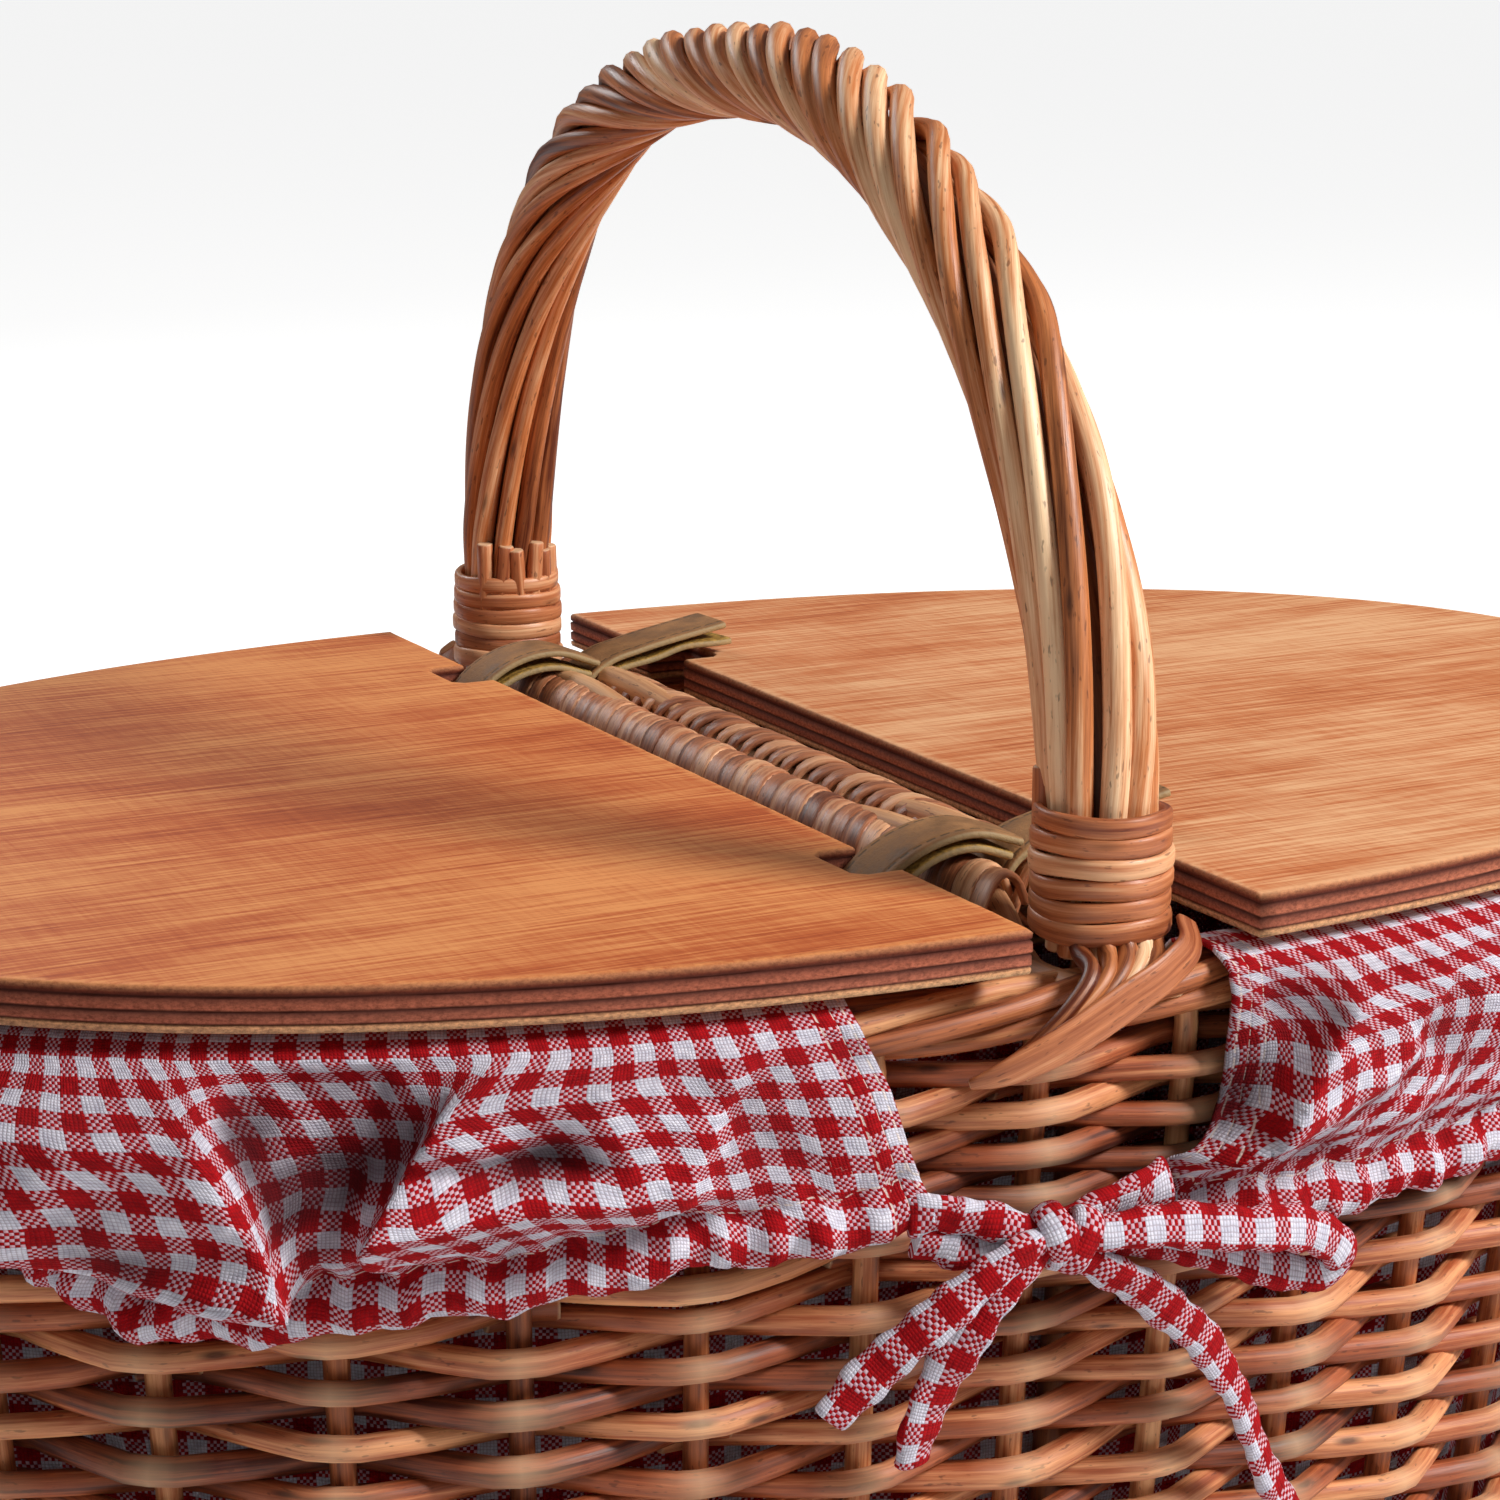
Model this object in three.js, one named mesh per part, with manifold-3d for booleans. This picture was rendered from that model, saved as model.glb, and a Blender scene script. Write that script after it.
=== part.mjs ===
// Oval wicker picnic basket with a fixed bow handle, two hinged plywood half-lids and a gingham liner.
// Millimetres. +Z up, origin at the centre of the underside, X along the long axis, Y along the crossbar.
// "left" is -X, "right" is +X, "near" is -Y and "far" is +Y.
import * as THREE from "three";
import { mergeVertices } from "three/addons/utils/BufferGeometryUtils.js";
import Module from "manifold-3d";

const wasm = await Module();
wasm.setup();

// The oval wall: half-axes of its centreline at the base and at the rim.
const OVAL_POWER = 2.25;
const BASE_HALF_X = 206;
const BASE_HALF_Y = 121;
const FLARE = 20;
const WALL_BOTTOM_Z = 7.8;
const RIM_TOP_Z = 204;
const WALL_HALF = 5.5;
const ROD_RIPPLE = 0.7;
const RING_STEPS = 72;
const OVAL_FINE_STEPS = 2880;
const WELD_DISTANCE = 1e-4;
const CLEAR = 0.4;

// Courses of the wall, from the foot up.
const FOOT_HEIGHT = 7.4;
const FOOT_INNER = -11;
const FOOT_ROUND = 1;
const UPSET_TOP_Z = 27;
const SIDE_TOP_Z = 151;
const RIM_BOTTOM_Z = 190;
const RIM_ROUND = 3;
const FOOT_BULGE_SHARE = 0.35;
const WALE_BULGE = 1;

// Base.
const BASE_EDGE_INSET = 6.4;
const BASE_Z = 8;
const BASE_THICK = 5.6;
const BASE_STICKS = 5;
const BASE_STICK_PITCH = 62;
const BASE_STICK_RADIUS = 2.9;
const BASE_STICK_SIDES = 6;
const BASE_STICK_GAP_TO_FOOT = 3;

// Side stakes.
const STAKE_RADIUS = 2.4;
const STAKE_SIDES = 5;
const STAKE_HOLE_SIDES = 4;
const STAKE_HOLE_RADIUS = 3.9;
const STAKE_FOOT_Z = 8.2;

// Lids.
const LID_HALF_X = 236;
const LID_HALF_Y = 150.5;
const LID_INNER_X = 24.4;
const LID_Z = 207.2;
const LID_THICK = 8.6;
const LID_STEPS = 30;
const NOTCH_Y = 95;
const NOTCH_HALF = 9;
const NOTCH_DEPTH = 9.6;
const NOTCH_ROUND = 2;

// Crossbar.
const RAIL_X = 7.6;
const RAIL_Z = 206;
const RAIL_STRAIGHT_Y = 112;
const RAIL_BENT_Y = 123;
const RAIL_END_X = 9.5;
const RAIL_END_Z = 200;
const RAIL_RADIUS = 3.4;
const RAIL_SIDES = 8;
const RAIL_BORE = 3.9;
const RAIL_END_Y = 145;
const WRAP_RADIUS = 7.6;
const WRAP_HALF_LENGTH = 108;
const WRAP_WEB = 3;
const WRAP_SIDES = 12;

// Handle.
const HANDLE_FOOT_Y = 134;
const HANDLE_SPRING_Z = 216;
const HANDLE_RISE = 141;
const HANDLE_POWER_NEAR = 1.95;
const HANDLE_POWER_FAR = 2.4;
const HANDLE_RODS = 10;
const HANDLE_ROD_RADIUS = 2.1;
const HANDLE_ROD_SIDES = 5;
const HANDLE_ROD_STEPS = 30;
const HANDLE_TANGENT_STEP = 0.004;
const HANDLE_ARC_STEPS = 240;
const HANDLE_PITCH_RADIUS_TOP = 8.8;
const HANDLE_PITCH_RADIUS_FOOT = 9.9;
const HANDLE_TWIST_FOOT = 0.012;
const HANDLE_TWIST_TOP = 0.07;
const HANDLE_CORE_RADIUS = 5.4;
const HANDLE_CORE_STEPS = 24;
const HANDLE_CORE_SIDES = 8;
const HANDLE_CORE_FOOT_Z = 46;
const HANDLE_CORE_INSET = 7;
const CORE_SLOT_RADIUS = 6.4;
const ROD_FOOT_Z = 207.4;

// Binding, rod ends and lashing at each handle foot.
const BINDING_Z = 207;
const BINDING_TURNS = 5;
const BINDING_TURN_HEIGHT = 4.8;
const BINDING_INNER = 13.7;
const BINDING_OUTER = 15;
const BINDING_SIDES = 14;
const BINDING_GROOVE = 0.5;
const FOOT_RODS_FACE_Y = 148.2;
const FOOT_RODS_THICK = 4;
const LASHING_THICK = 1.2;
// Outlines in X and Z on the face of the rim.
const FOOT_RODS_OUTLINE = [[-12, 206], [10, 206], [4, 199], [-18, 187], [-33, 184], [-27, 193]];
const LASHING_OUTLINE = [
  [12, 206.4],
  [14, 200],
  [-2, 190],
  [-26, 181],
  [-38, 183],
  [-36, 188],
  [-14, 194],
  [4, 204],
];

// Leather hinge straps and their tacks.
const STRAP_HALF_WIDTH = 7.5;
const STRAP_THICK = 2.2;
const STRAP_END_DROP = 1;
const STRAP_REACH_X = 31;
const STRAP_REACH_Z = 203;
const STRAP_END_X = 1.2;
const STRAP_BEND_X = 5;
const STRAP_ARC_STEPS = 6;
const STRAP_ARC_FROM = 1.25;
const STRAP_ARC_TURN = 0.7;
const TAB_START_X = 35;
const TAB_END_X = 60;
const TAB_DROP = 0.35;
const TACK_X = [42, 54];
const TACK_RADIUS = 0.9;
const TACK_HOLE_RADIUS = 1.3;
const TACK_DEPTH = 5;
const TACK_HEAD_RADIUS = 3;
const TACK_HEAD_THICK = 1.2;
const TACK_SIDES = 6;

// Liner.
const BAG_OFFSET = -13;
const BAG_THICK = 1.8;
const BAG_BOTTOM_Z = 14.2;
const BAG_TOP_Z = 195;
const BAG_CORNER = 8;
// Section of a flap as wall offset and Z: inner leg, underside of the fold, outer leg, rolled hem.
const FLAP_SECTION = [
  [-12.4, 192],
  [-10.6, 192],
  [-10.6, 204.8],
  [6.9, 204.8],
  [8.2, 160],
  [7.4, 150],
  [13, 150],
  [13.4, 158],
  [8.6, 205.6],
  [7.2, 206.8],
  [-12.4, 206.8],
];
const FLAP_STEPS = 26;
const FLAP_WIDE_EDGE_X = 56;
const FLAP_NARROW_EDGE_X = 17;
const TIE_FACE_Y = 148.8;
const TIE_THICK = 4;
const TIE_KNOT = [-18, 157];
const TIE_KNOT_RADIUS = 7.8;
const TIE_KNOT_SIDES = 8;
const TIE_KNOT_RINGS = 6;
const TIE_LOOPS_FACE_Y = 155.8;
// Outlines in X and Z: the strips that come out of the two hems, then two loops and two tails.
const TIE_STRIPS = [
  [[-55, 156], [-18, 153], [-18, 161], [-55, 165]],
  [[-18, 153], [16, 155], [16, 163], [-18, 161]],
];
const TIE_LOOPS = [
  [[-18, 154], [10, 147], [38, 136], [44, 142], [42, 149], [12, 158], [-18, 161]],
  [[-20, 161], [-40, 146], [-62, 133], [-57, 126], [-38, 138], [-18, 153]],
  [[-23, 156], [-36, 138], [-47, 120], [-37, 116], [-28, 134], [-15, 153]],
  [[-19, 152], [0, 139], [18, 118], [34, 92], [40, 94], [26, 120], [6, 144], [-14, 159]],
];

// ---------------------------------------------------------------- small helpers

const signedPower = (value, power) => Math.sign(value) * Math.abs(value) ** power;

// A point on the oval with the given half-axes. turn runs from 0 to 1, starting at +X.
function ovalPoint(turn, halfX, halfY, z) {
  const angle = 2 * Math.PI * turn;
  const power = 2 / OVAL_POWER;
  const x = halfX * signedPower(Math.cos(angle), power);
  const y = halfY * signedPower(Math.sin(angle), power);
  return new THREE.Vector3(x, y, z);
}

// Wall centreline at a height, moved outward by an offset.
function wallPoint(turn, offset, z) {
  const flare = (FLARE * (z - WALL_BOTTOM_Z)) / (RIM_TOP_Z - WALL_BOTTOM_Z);
  return ovalPoint(turn, BASE_HALF_X + flare + offset, BASE_HALF_Y + flare + offset, z);
}

// Turns that split the rim oval into equal lengths.
function equalTurns(count) {
  const lengths = [0];
  for (let i = 1; i <= OVAL_FINE_STEPS; i++) {
    const from = wallPoint((i - 1) / OVAL_FINE_STEPS, 0, RIM_TOP_Z);
    const to = wallPoint(i / OVAL_FINE_STEPS, 0, RIM_TOP_Z);
    lengths.push(lengths[i - 1] + from.distanceTo(to));
  }
  const turns = [];
  let at = 0;
  for (let k = 0; k < count; k++) {
    const wanted = (lengths[OVAL_FINE_STEPS] * k) / count;
    while (lengths[at + 1] < wanted) at += 1;
    const within = (wanted - lengths[at]) / (lengths[at + 1] - lengths[at]);
    turns.push((at + within) / OVAL_FINE_STEPS);
  }
  return turns;
}

// The turn at which the rim oval reaches a given x on the near or the far side.
function turnAtX(x, side) {
  const angle = Math.acos(signedPower(x / (BASE_HALF_X + FLARE), OVAL_POWER / 2));
  return (side * angle) / (2 * Math.PI);
}

const RING_TURNS = equalTurns(RING_STEPS);

// Closed geometry from triangles given as point lists, turned to face outward.
function closedGeometry(points, faces) {
  let volume = 0;
  for (const [a, b, c] of faces) {
    volume += points[a].dot(new THREE.Vector3().crossVectors(points[b], points[c]));
  }
  const order = volume < 0 ? (f) => [f[0], f[2], f[1]] : (f) => f;
  const geometry = new THREE.BufferGeometry().setFromPoints(points);
  geometry.setIndex(faces.flatMap(order));
  return geometry;
}

// Skin over a row of loops. The row closes on itself, or each end gets a cap.
function loftGeometry(loops, closed, capShape) {
  const points = loops.flat();
  const around = loops[0].length;
  const faces = [];
  const spans = closed ? loops.length : loops.length - 1;
  for (let i = 0; i < spans; i++) {
    const next = (i + 1) % loops.length;
    for (let j = 0; j < around; j++) {
      const k = (j + 1) % around;
      const corners = [i * around + j, i * around + k, next * around + k, next * around + j];
      faces.push([corners[0], corners[1], corners[2]]);
      faces.push([corners[0], corners[2], corners[3]]);
    }
  }
  if (!closed) {
    const last = (loops.length - 1) * around;
    for (const [a, b, c] of THREE.ShapeUtils.triangulateShape(capShape, [])) {
      faces.push([b, a, c]);
      faces.push([last + a, last + b, last + c]);
    }
  }
  return closedGeometry(points, faces);
}

// A ring round the wall with a section of [offset, z] corners. ripple lifts every second station.
function ringGeometry(section, ripple) {
  const loops = RING_TURNS.map((turn, i) => {
    const out = i % 2 ? ripple : -ripple;
    return section.map(([offset, z]) => wallPoint(turn, offset + (offset > 0 ? out : 0), z));
  });
  return loftGeometry(loops, true, null);
}

// A solid of oval levels [offset, z], closed by a flat cap at each end.
function levelsGeometry(levels) {
  const loops = levels.map(([offset, z]) => RING_TURNS.map((turn) => wallPoint(turn, offset, z)));
  const cap = RING_TURNS.map((turn) => {
    const point = wallPoint(turn, 0, 0);
    return new THREE.Vector2(point.x, point.y);
  });
  return loftGeometry(loops, false, cap);
}

function polygon(sides, radius, centreX = 0, centreY = 0) {
  const corners = [];
  for (let i = 0; i < sides; i++) {
    const angle = (2 * Math.PI * i) / sides;
    corners.push(new THREE.Vector2(centreX + radius * Math.cos(angle), centreY + radius * Math.sin(angle)));
  }
  return corners;
}

// A round bar along a curve.
function barGeometry(curve, radius, sides, steps) {
  const shape = new THREE.Shape(polygon(sides, radius));
  return new THREE.ExtrudeGeometry(shape, { steps, bevelEnabled: false, extrudePath: curve });
}

const lineBar = (from, to, radius, sides) => barGeometry(new THREE.LineCurve3(from, to), radius, sides, 1);

// A flat shape drawn in X and Z, thickened along Y from one y to another.
function plateXZ(corners, fromY, toY) {
  const shape = new THREE.Shape(corners.map(([x, z]) => new THREE.Vector2(x, z)));
  const geometry = new THREE.ExtrudeGeometry(shape, { depth: toY - fromY, bevelEnabled: false });
  geometry.rotateX(Math.PI / 2);
  geometry.translate(0, toY, 0);
  return geometry;
}

function toSolid(geometry) {
  const bare = geometry.clone();
  bare.deleteAttribute("normal");
  bare.deleteAttribute("uv");
  const merged = mergeVertices(bare, WELD_DISTANCE);
  const vertProperties = merged.attributes.position.array;
  return new wasm.Manifold(
    new wasm.Mesh({ numProp: 3, vertProperties, triVerts: new Uint32Array(merged.index.array) }),
  );
}

function fromSolid(solid) {
  const mesh = solid.getMesh();
  const geometry = new THREE.BufferGeometry();
  geometry.setAttribute("position", new THREE.BufferAttribute(mesh.vertProperties, 3));
  geometry.setIndex(Array.from(mesh.triVerts));
  return geometry;
}

const joined = (solids) => solids.reduce((all, solid) => all.add(solid));
const cut = (geometry, cutters) => fromSolid(toSolid(geometry).subtract(joined(cutters)));

// ---------------------------------------------------------------- materials and assembly

const LOOKS = {
  willow: [0xb9814c, 0.62],
  rim_willow: [0xa9713d, 0.62],
  handle_willow: [0xc08a55, 0.5],
  skein: [0xa8683a, 0.45],
  wrap: [0x8f5c36, 0.5],
  plywood: [0xc9814a, 0.5],
  leather: [0x9c8758, 0.75],
  tack: [0x9a7a3a, 0.35],
  gingham: [0xb8484e, 0.9],
};

const basket = new THREE.Group();
basket.name = "wicker_picnic_basket";

function addPart(name, geometry, look) {
  const [color, roughness] = LOOKS[look];
  const metalness = look === "tack" ? 1 : 0;
  const flat = geometry.index ? geometry.toNonIndexed() : geometry;
  flat.computeVertexNormals();
  const mesh = new THREE.Mesh(flat, new THREE.MeshStandardMaterial({ color, roughness, metalness }));
  mesh.name = name;
  basket.add(mesh);
  return mesh;
}

// The same part at the near foot and, turned half round, at the far foot.
function addAtBothFeet(name, geometry, look) {
  addPart(`${name}_near`, geometry, look);
  addPart(`${name}_far`, geometry.clone(), look).rotation.z = Math.PI;
}

// ---------------------------------------------------------------- base and wall

const stakeTurns = RING_TURNS.filter((turn, i) => i % 2 === 1);
const stakeCutters = stakeTurns.map((turn) => {
  const from = wallPoint(turn, 0, WALL_BOTTOM_Z - WALL_HALF);
  const to = wallPoint(turn, 0, RIM_BOTTOM_Z + WALL_HALF);
  return toSolid(lineBar(from, to, STAKE_HOLE_RADIUS, STAKE_HOLE_SIDES));
});

// Slots for the bow, which runs down the inner face of the wall at each foot.
const NEAR_TURN = -0.25;
const FAR_TURN = 0.25;
const coreSlots = [NEAR_TURN, FAR_TURN].map((turn) => {
  const from = wallPoint(turn, -HANDLE_CORE_INSET, HANDLE_CORE_FOOT_Z - CLEAR);
  const to = wallPoint(turn, -HANDLE_CORE_INSET, RIM_TOP_Z + WALL_HALF);
  return toSolid(lineBar(from, to, CORE_SLOT_RADIUS, BINDING_SIDES));
});

const foot = [
  [FOOT_INNER, 0],
  [WALL_HALF - FOOT_ROUND, 0],
  [WALL_HALF + FOOT_ROUND, FOOT_HEIGHT * FOOT_BULGE_SHARE],
  [WALL_HALF, FOOT_HEIGHT],
  [FOOT_INNER, FOOT_HEIGHT],
];
addPart("foot_border", ringGeometry(foot, 0), "rim_willow");

const baseTop = BASE_Z + BASE_THICK;
addPart(
  "base_weave",
  levelsGeometry([
    [-BASE_EDGE_INSET, BASE_Z],
    [-BASE_EDGE_INSET, baseTop],
  ]),
  "willow",
);

for (let i = 0; i < BASE_STICKS; i++) {
  const x = (i - (BASE_STICKS - 1) / 2) * BASE_STICK_PITCH;
  const share = (1 - (Math.abs(x) / (BASE_HALF_X + FOOT_INNER)) ** OVAL_POWER) ** (1 / OVAL_POWER);
  const half = (BASE_HALF_Y + FOOT_INNER) * share - BASE_STICK_GAP_TO_FOOT;
  const z = BASE_Z - CLEAR - BASE_STICK_RADIUS;
  const from = new THREE.Vector3(x, -half, z);
  const to = new THREE.Vector3(x, half, z);
  const stick = lineBar(from, to, BASE_STICK_RADIUS, BASE_STICK_SIDES);
  addPart(`base_stick_${i + 1}`, stick, "willow");
}

// One course of the wall between two heights, bored for the stakes.
function courseGeometry(bottom, top, bulge, cutters) {
  const middle = (bottom + top) / 2;
  const section = [
    [-WALL_HALF, bottom],
    [WALL_HALF, bottom],
    [WALL_HALF + bulge, middle],
    [WALL_HALF, top],
    [-WALL_HALF, top],
  ];
  return cut(ringGeometry(section, ROD_RIPPLE), cutters);
}

addPart("upset_wale", courseGeometry(WALL_BOTTOM_Z, UPSET_TOP_Z, WALE_BULGE, stakeCutters), "willow");
addPart(
  "side_weave",
  courseGeometry(UPSET_TOP_Z + CLEAR, SIDE_TOP_Z, 0, [...stakeCutters, ...coreSlots]),
  "willow",
);
addPart(
  "top_wale",
  courseGeometry(SIDE_TOP_Z + CLEAR, RIM_BOTTOM_Z - CLEAR, WALE_BULGE, [...stakeCutters, ...coreSlots]),
  "willow",
);

// Side stakes and the rim they are turned down into.
const rimSection = [
  [-WALL_HALF, RIM_BOTTOM_Z],
  [WALL_HALF, RIM_BOTTOM_Z],
  [WALL_HALF + WALE_BULGE, RIM_TOP_Z - RIM_ROUND],
  [WALL_HALF - RIM_ROUND, RIM_TOP_Z],
  [RIM_ROUND - WALL_HALF, RIM_TOP_Z],
  [-WALL_HALF, RIM_TOP_Z - RIM_ROUND],
];
const stakes = stakeTurns.map((turn) => {
  const from = wallPoint(turn, 0, STAKE_FOOT_Z);
  const to = wallPoint(turn, 0, RIM_BOTTOM_Z + RIM_ROUND);
  return toSolid(lineBar(from, to, STAKE_RADIUS, STAKE_SIDES));
});
const railHalfSlot = RAIL_RADIUS + CLEAR;
const railSlots = [-RAIL_END_X, RAIL_END_X].map((x) => {
  const slotLength = 2 * (RAIL_END_Y + 3 * WALL_HALF);
  const slot = new THREE.BoxGeometry(2 * railHalfSlot, slotLength, 2 * railHalfSlot + WALL_HALF);
  slot.translate(x, 0, RAIL_END_Z + WALL_HALF / 2);
  return toSolid(slot);
});
const rimSolid = joined([toSolid(ringGeometry(rimSection, 0)), ...stakes]);
addPart(
  "stakes_and_rim_border",
  fromSolid(rimSolid.subtract(joined([...coreSlots, ...railSlots]))),
  "rim_willow",
);

// ---------------------------------------------------------------- crossbar

// Each rail is straight under its binding, then dips and spreads past the bow to rest in the rim.
const railHalf = [
  [RAIL_END_X, RAIL_END_Y, RAIL_END_Z],
  [RAIL_END_X, RAIL_BENT_Y, RAIL_END_Z],
  [RAIL_X, RAIL_STRAIGHT_Y, RAIL_Z],
];
const railStations = [...railHalf.map(([x, y, z]) => [x, -y, z]), ...[...railHalf].reverse()];
const railSection = polygon(RAIL_SIDES, RAIL_RADIUS);
for (const [side, sign] of [["left", -1], ["right", 1]]) {
  const loops = railStations.map(([x, y, z]) =>
    railSection.map((corner) => new THREE.Vector3(sign * x + corner.x, y, z + corner.y)),
  );
  addPart(`crossbar_rail_${side}`, loftGeometry(loops, false, railSection), "willow");
}

const wrapEnds = [
  new THREE.Vector3(0, -WRAP_HALF_LENGTH, RAIL_Z),
  new THREE.Vector3(0, WRAP_HALF_LENGTH, RAIL_Z),
];
function railCylinder(sign, radius, over) {
  const shift = new THREE.Vector3(sign * RAIL_X, 0, 0);
  const from = wrapEnds[0].clone().add(shift);
  const to = wrapEnds[1].clone().add(shift);
  from.y -= over;
  to.y += over;
  return toSolid(lineBar(from, to, radius, WRAP_SIDES));
}
const web = new THREE.BoxGeometry(2 * RAIL_X, 2 * WRAP_HALF_LENGTH, 2 * WRAP_WEB);
web.translate(0, 0, RAIL_Z);
const wrapOutside = joined([railCylinder(-1, WRAP_RADIUS, 0), railCylinder(1, WRAP_RADIUS, 0), toSolid(web)]);
const wrapBores = joined([railCylinder(-1, RAIL_BORE, 1), railCylinder(1, RAIL_BORE, 1)]);
addPart("crossbar_wrap", fromSolid(wrapOutside.subtract(wrapBores)), "wrap");

// ---------------------------------------------------------------- handle

// The arch of the bow: from the near foot (angle 0) over the top to the far foot (angle pi).
function archPoint(angle) {
  const power = 2 / (angle < Math.PI / 2 ? HANDLE_POWER_NEAR : HANDLE_POWER_FAR);
  const y = -HANDLE_FOOT_Y * signedPower(Math.cos(angle), power);
  const z = HANDLE_SPRING_Z + HANDLE_RISE * signedPower(Math.sin(angle), power);
  return new THREE.Vector3(0, y, z);
}

// Centreline at equal steps of length, down to a given foot height.
function handleLine(footZ) {
  const points = [new THREE.Vector3(0, -HANDLE_FOOT_Y, footZ)];
  for (let i = 0; i <= HANDLE_ARC_STEPS; i++) points.push(archPoint((Math.PI * i) / HANDLE_ARC_STEPS));
  points.push(new THREE.Vector3(0, HANDLE_FOOT_Y, footZ));
  const path = new THREE.CurvePath();
  for (let i = 1; i < points.length; i++) path.add(new THREE.LineCurve3(points[i - 1], points[i]));
  return path;
}

// One rod lying round the bow: its angle about the bow turns fastest over the top.
class TwistedRod extends THREE.Curve {
  constructor(line, start) {
    super();
    this.line = line;
    this.start = start;
    this.length = line.getLength();
  }
  getPoint(at, target = new THREE.Vector3()) {
    const centre = this.line.getPointAt(at);
    const ahead = this.line.getPointAt(Math.min(at + HANDLE_TANGENT_STEP, 1));
    const behind = this.line.getPointAt(Math.max(at - HANDLE_TANGENT_STEP, 0));
    const along = ahead.sub(behind).normalize();
    const across = new THREE.Vector3(1, 0, 0);
    const outward = new THREE.Vector3().crossVectors(across, along).normalize();
    const turned = this.start + this.twistTo(at);
    const rise = Math.sin(Math.PI * at);
    const radius = HANDLE_PITCH_RADIUS_FOOT + (HANDLE_PITCH_RADIUS_TOP - HANDLE_PITCH_RADIUS_FOOT) * rise;
    return target
      .copy(centre)
      .addScaledVector(across, radius * Math.sin(turned))
      .addScaledVector(outward, radius * Math.cos(turned));
  }
  // Integral of foot rate + (top rate - foot rate) * sin^4.
  twistTo(at) {
    const fourth = (3 * at) / 8 - Math.sin(2 * Math.PI * at) / (4 * Math.PI);
    const whole = fourth + Math.sin(4 * Math.PI * at) / (32 * Math.PI);
    return this.length * (HANDLE_TWIST_FOOT * at + (HANDLE_TWIST_TOP - HANDLE_TWIST_FOOT) * whole);
  }
}

const rodLine = handleLine(ROD_FOOT_Z);
for (let i = 0; i < HANDLE_RODS; i++) {
  const rod = new TwistedRod(rodLine, (2 * Math.PI * i) / HANDLE_RODS);
  const geometry = barGeometry(rod, HANDLE_ROD_RADIUS, HANDLE_ROD_SIDES, HANDLE_ROD_STEPS);
  addPart(`handle_wrap_rod_${i + 1}`, geometry, "handle_willow");
}

// The bow itself: the arch, then down the inner face of the wall.
const corePoints = [wallPoint(NEAR_TURN, -HANDLE_CORE_INSET, HANDLE_CORE_FOOT_Z)];
for (let i = 0; i <= HANDLE_CORE_STEPS; i++) corePoints.push(rodLine.getPointAt(i / HANDLE_CORE_STEPS));
corePoints.push(wallPoint(FAR_TURN, -HANDLE_CORE_INSET, HANDLE_CORE_FOOT_Z));
const coreSection = polygon(HANDLE_CORE_SIDES, HANDLE_CORE_RADIUS);
const coreLoops = corePoints.map((point, i) => {
  const before = corePoints[Math.max(i - 1, 0)];
  const after = corePoints[Math.min(i + 1, corePoints.length - 1)];
  const along = after.clone().sub(before).normalize();
  const outward = new THREE.Vector3().crossVectors(new THREE.Vector3(1, 0, 0), along);
  return coreSection.map((corner) => point.clone().addScaledVector(outward, corner.y).setX(corner.x));
});
addPart("handle_core", loftGeometry(coreLoops, false, coreSection), "handle_willow");

// Flat skein bound round each foot: a sleeve with one ridge for each turn.
const bindingProfile = [new THREE.Vector2(BINDING_INNER, BINDING_Z)];
for (let i = 0; i < BINDING_TURNS; i++) {
  const z = BINDING_Z + i * BINDING_TURN_HEIGHT;
  bindingProfile.push(new THREE.Vector2(BINDING_OUTER - BINDING_GROOVE, z));
  bindingProfile.push(new THREE.Vector2(BINDING_OUTER, z + BINDING_TURN_HEIGHT / 2));
}
const bindingTop = BINDING_Z + BINDING_TURNS * BINDING_TURN_HEIGHT;
bindingProfile.push(new THREE.Vector2(BINDING_OUTER - BINDING_GROOVE, bindingTop));
bindingProfile.push(new THREE.Vector2(BINDING_INNER, bindingTop));
bindingProfile.push(bindingProfile[0].clone());
const binding = new THREE.LatheGeometry(bindingProfile, BINDING_SIDES);
binding.rotateX(Math.PI / 2);
binding.translate(0, -HANDLE_FOOT_Y, 0);
addAtBothFeet("handle_binding", binding, "skein");

// Rod ends fanned out over the face of the rim, and the skein lashed across them.
const fanFrom = -FOOT_RODS_FACE_Y - FOOT_RODS_THICK;
addAtBothFeet("handle_foot_rods", plateXZ(FOOT_RODS_OUTLINE, fanFrom, -FOOT_RODS_FACE_Y), "handle_willow");
const lashingTo = fanFrom - CLEAR;
addAtBothFeet("handle_lashing", plateXZ(LASHING_OUTLINE, lashingTo - LASHING_THICK, lashingTo), "skein");

// ---------------------------------------------------------------- lids, straps and tacks

// Half of the lid oval, cut straight along the crossbar, with one notch for each strap.
function lidShape(sign) {
  const corners = [];
  for (const y of [-NOTCH_Y, NOTCH_Y]) {
    const inner = LID_INNER_X + NOTCH_DEPTH;
    corners.push([LID_INNER_X, y - NOTCH_HALF]);
    corners.push([inner - NOTCH_ROUND, y - NOTCH_HALF]);
    corners.push([inner, y - NOTCH_HALF + NOTCH_ROUND]);
    corners.push([inner, y + NOTCH_HALF - NOTCH_ROUND]);
    corners.push([inner - NOTCH_ROUND, y + NOTCH_HALF]);
    corners.push([LID_INNER_X, y + NOTCH_HALF]);
  }
  const start = Math.acos(signedPower(LID_INNER_X / LID_HALF_X, OVAL_POWER / 2));
  for (let i = 0; i <= LID_STEPS; i++) {
    const turn = (start * (1 - (2 * i) / LID_STEPS)) / (2 * Math.PI);
    const point = ovalPoint(turn, LID_HALF_X, LID_HALF_Y, 0);
    corners.push([point.x, point.y]);
  }
  return new THREE.Shape(corners.map(([x, y]) => new THREE.Vector2(sign * x, y)));
}

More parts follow.
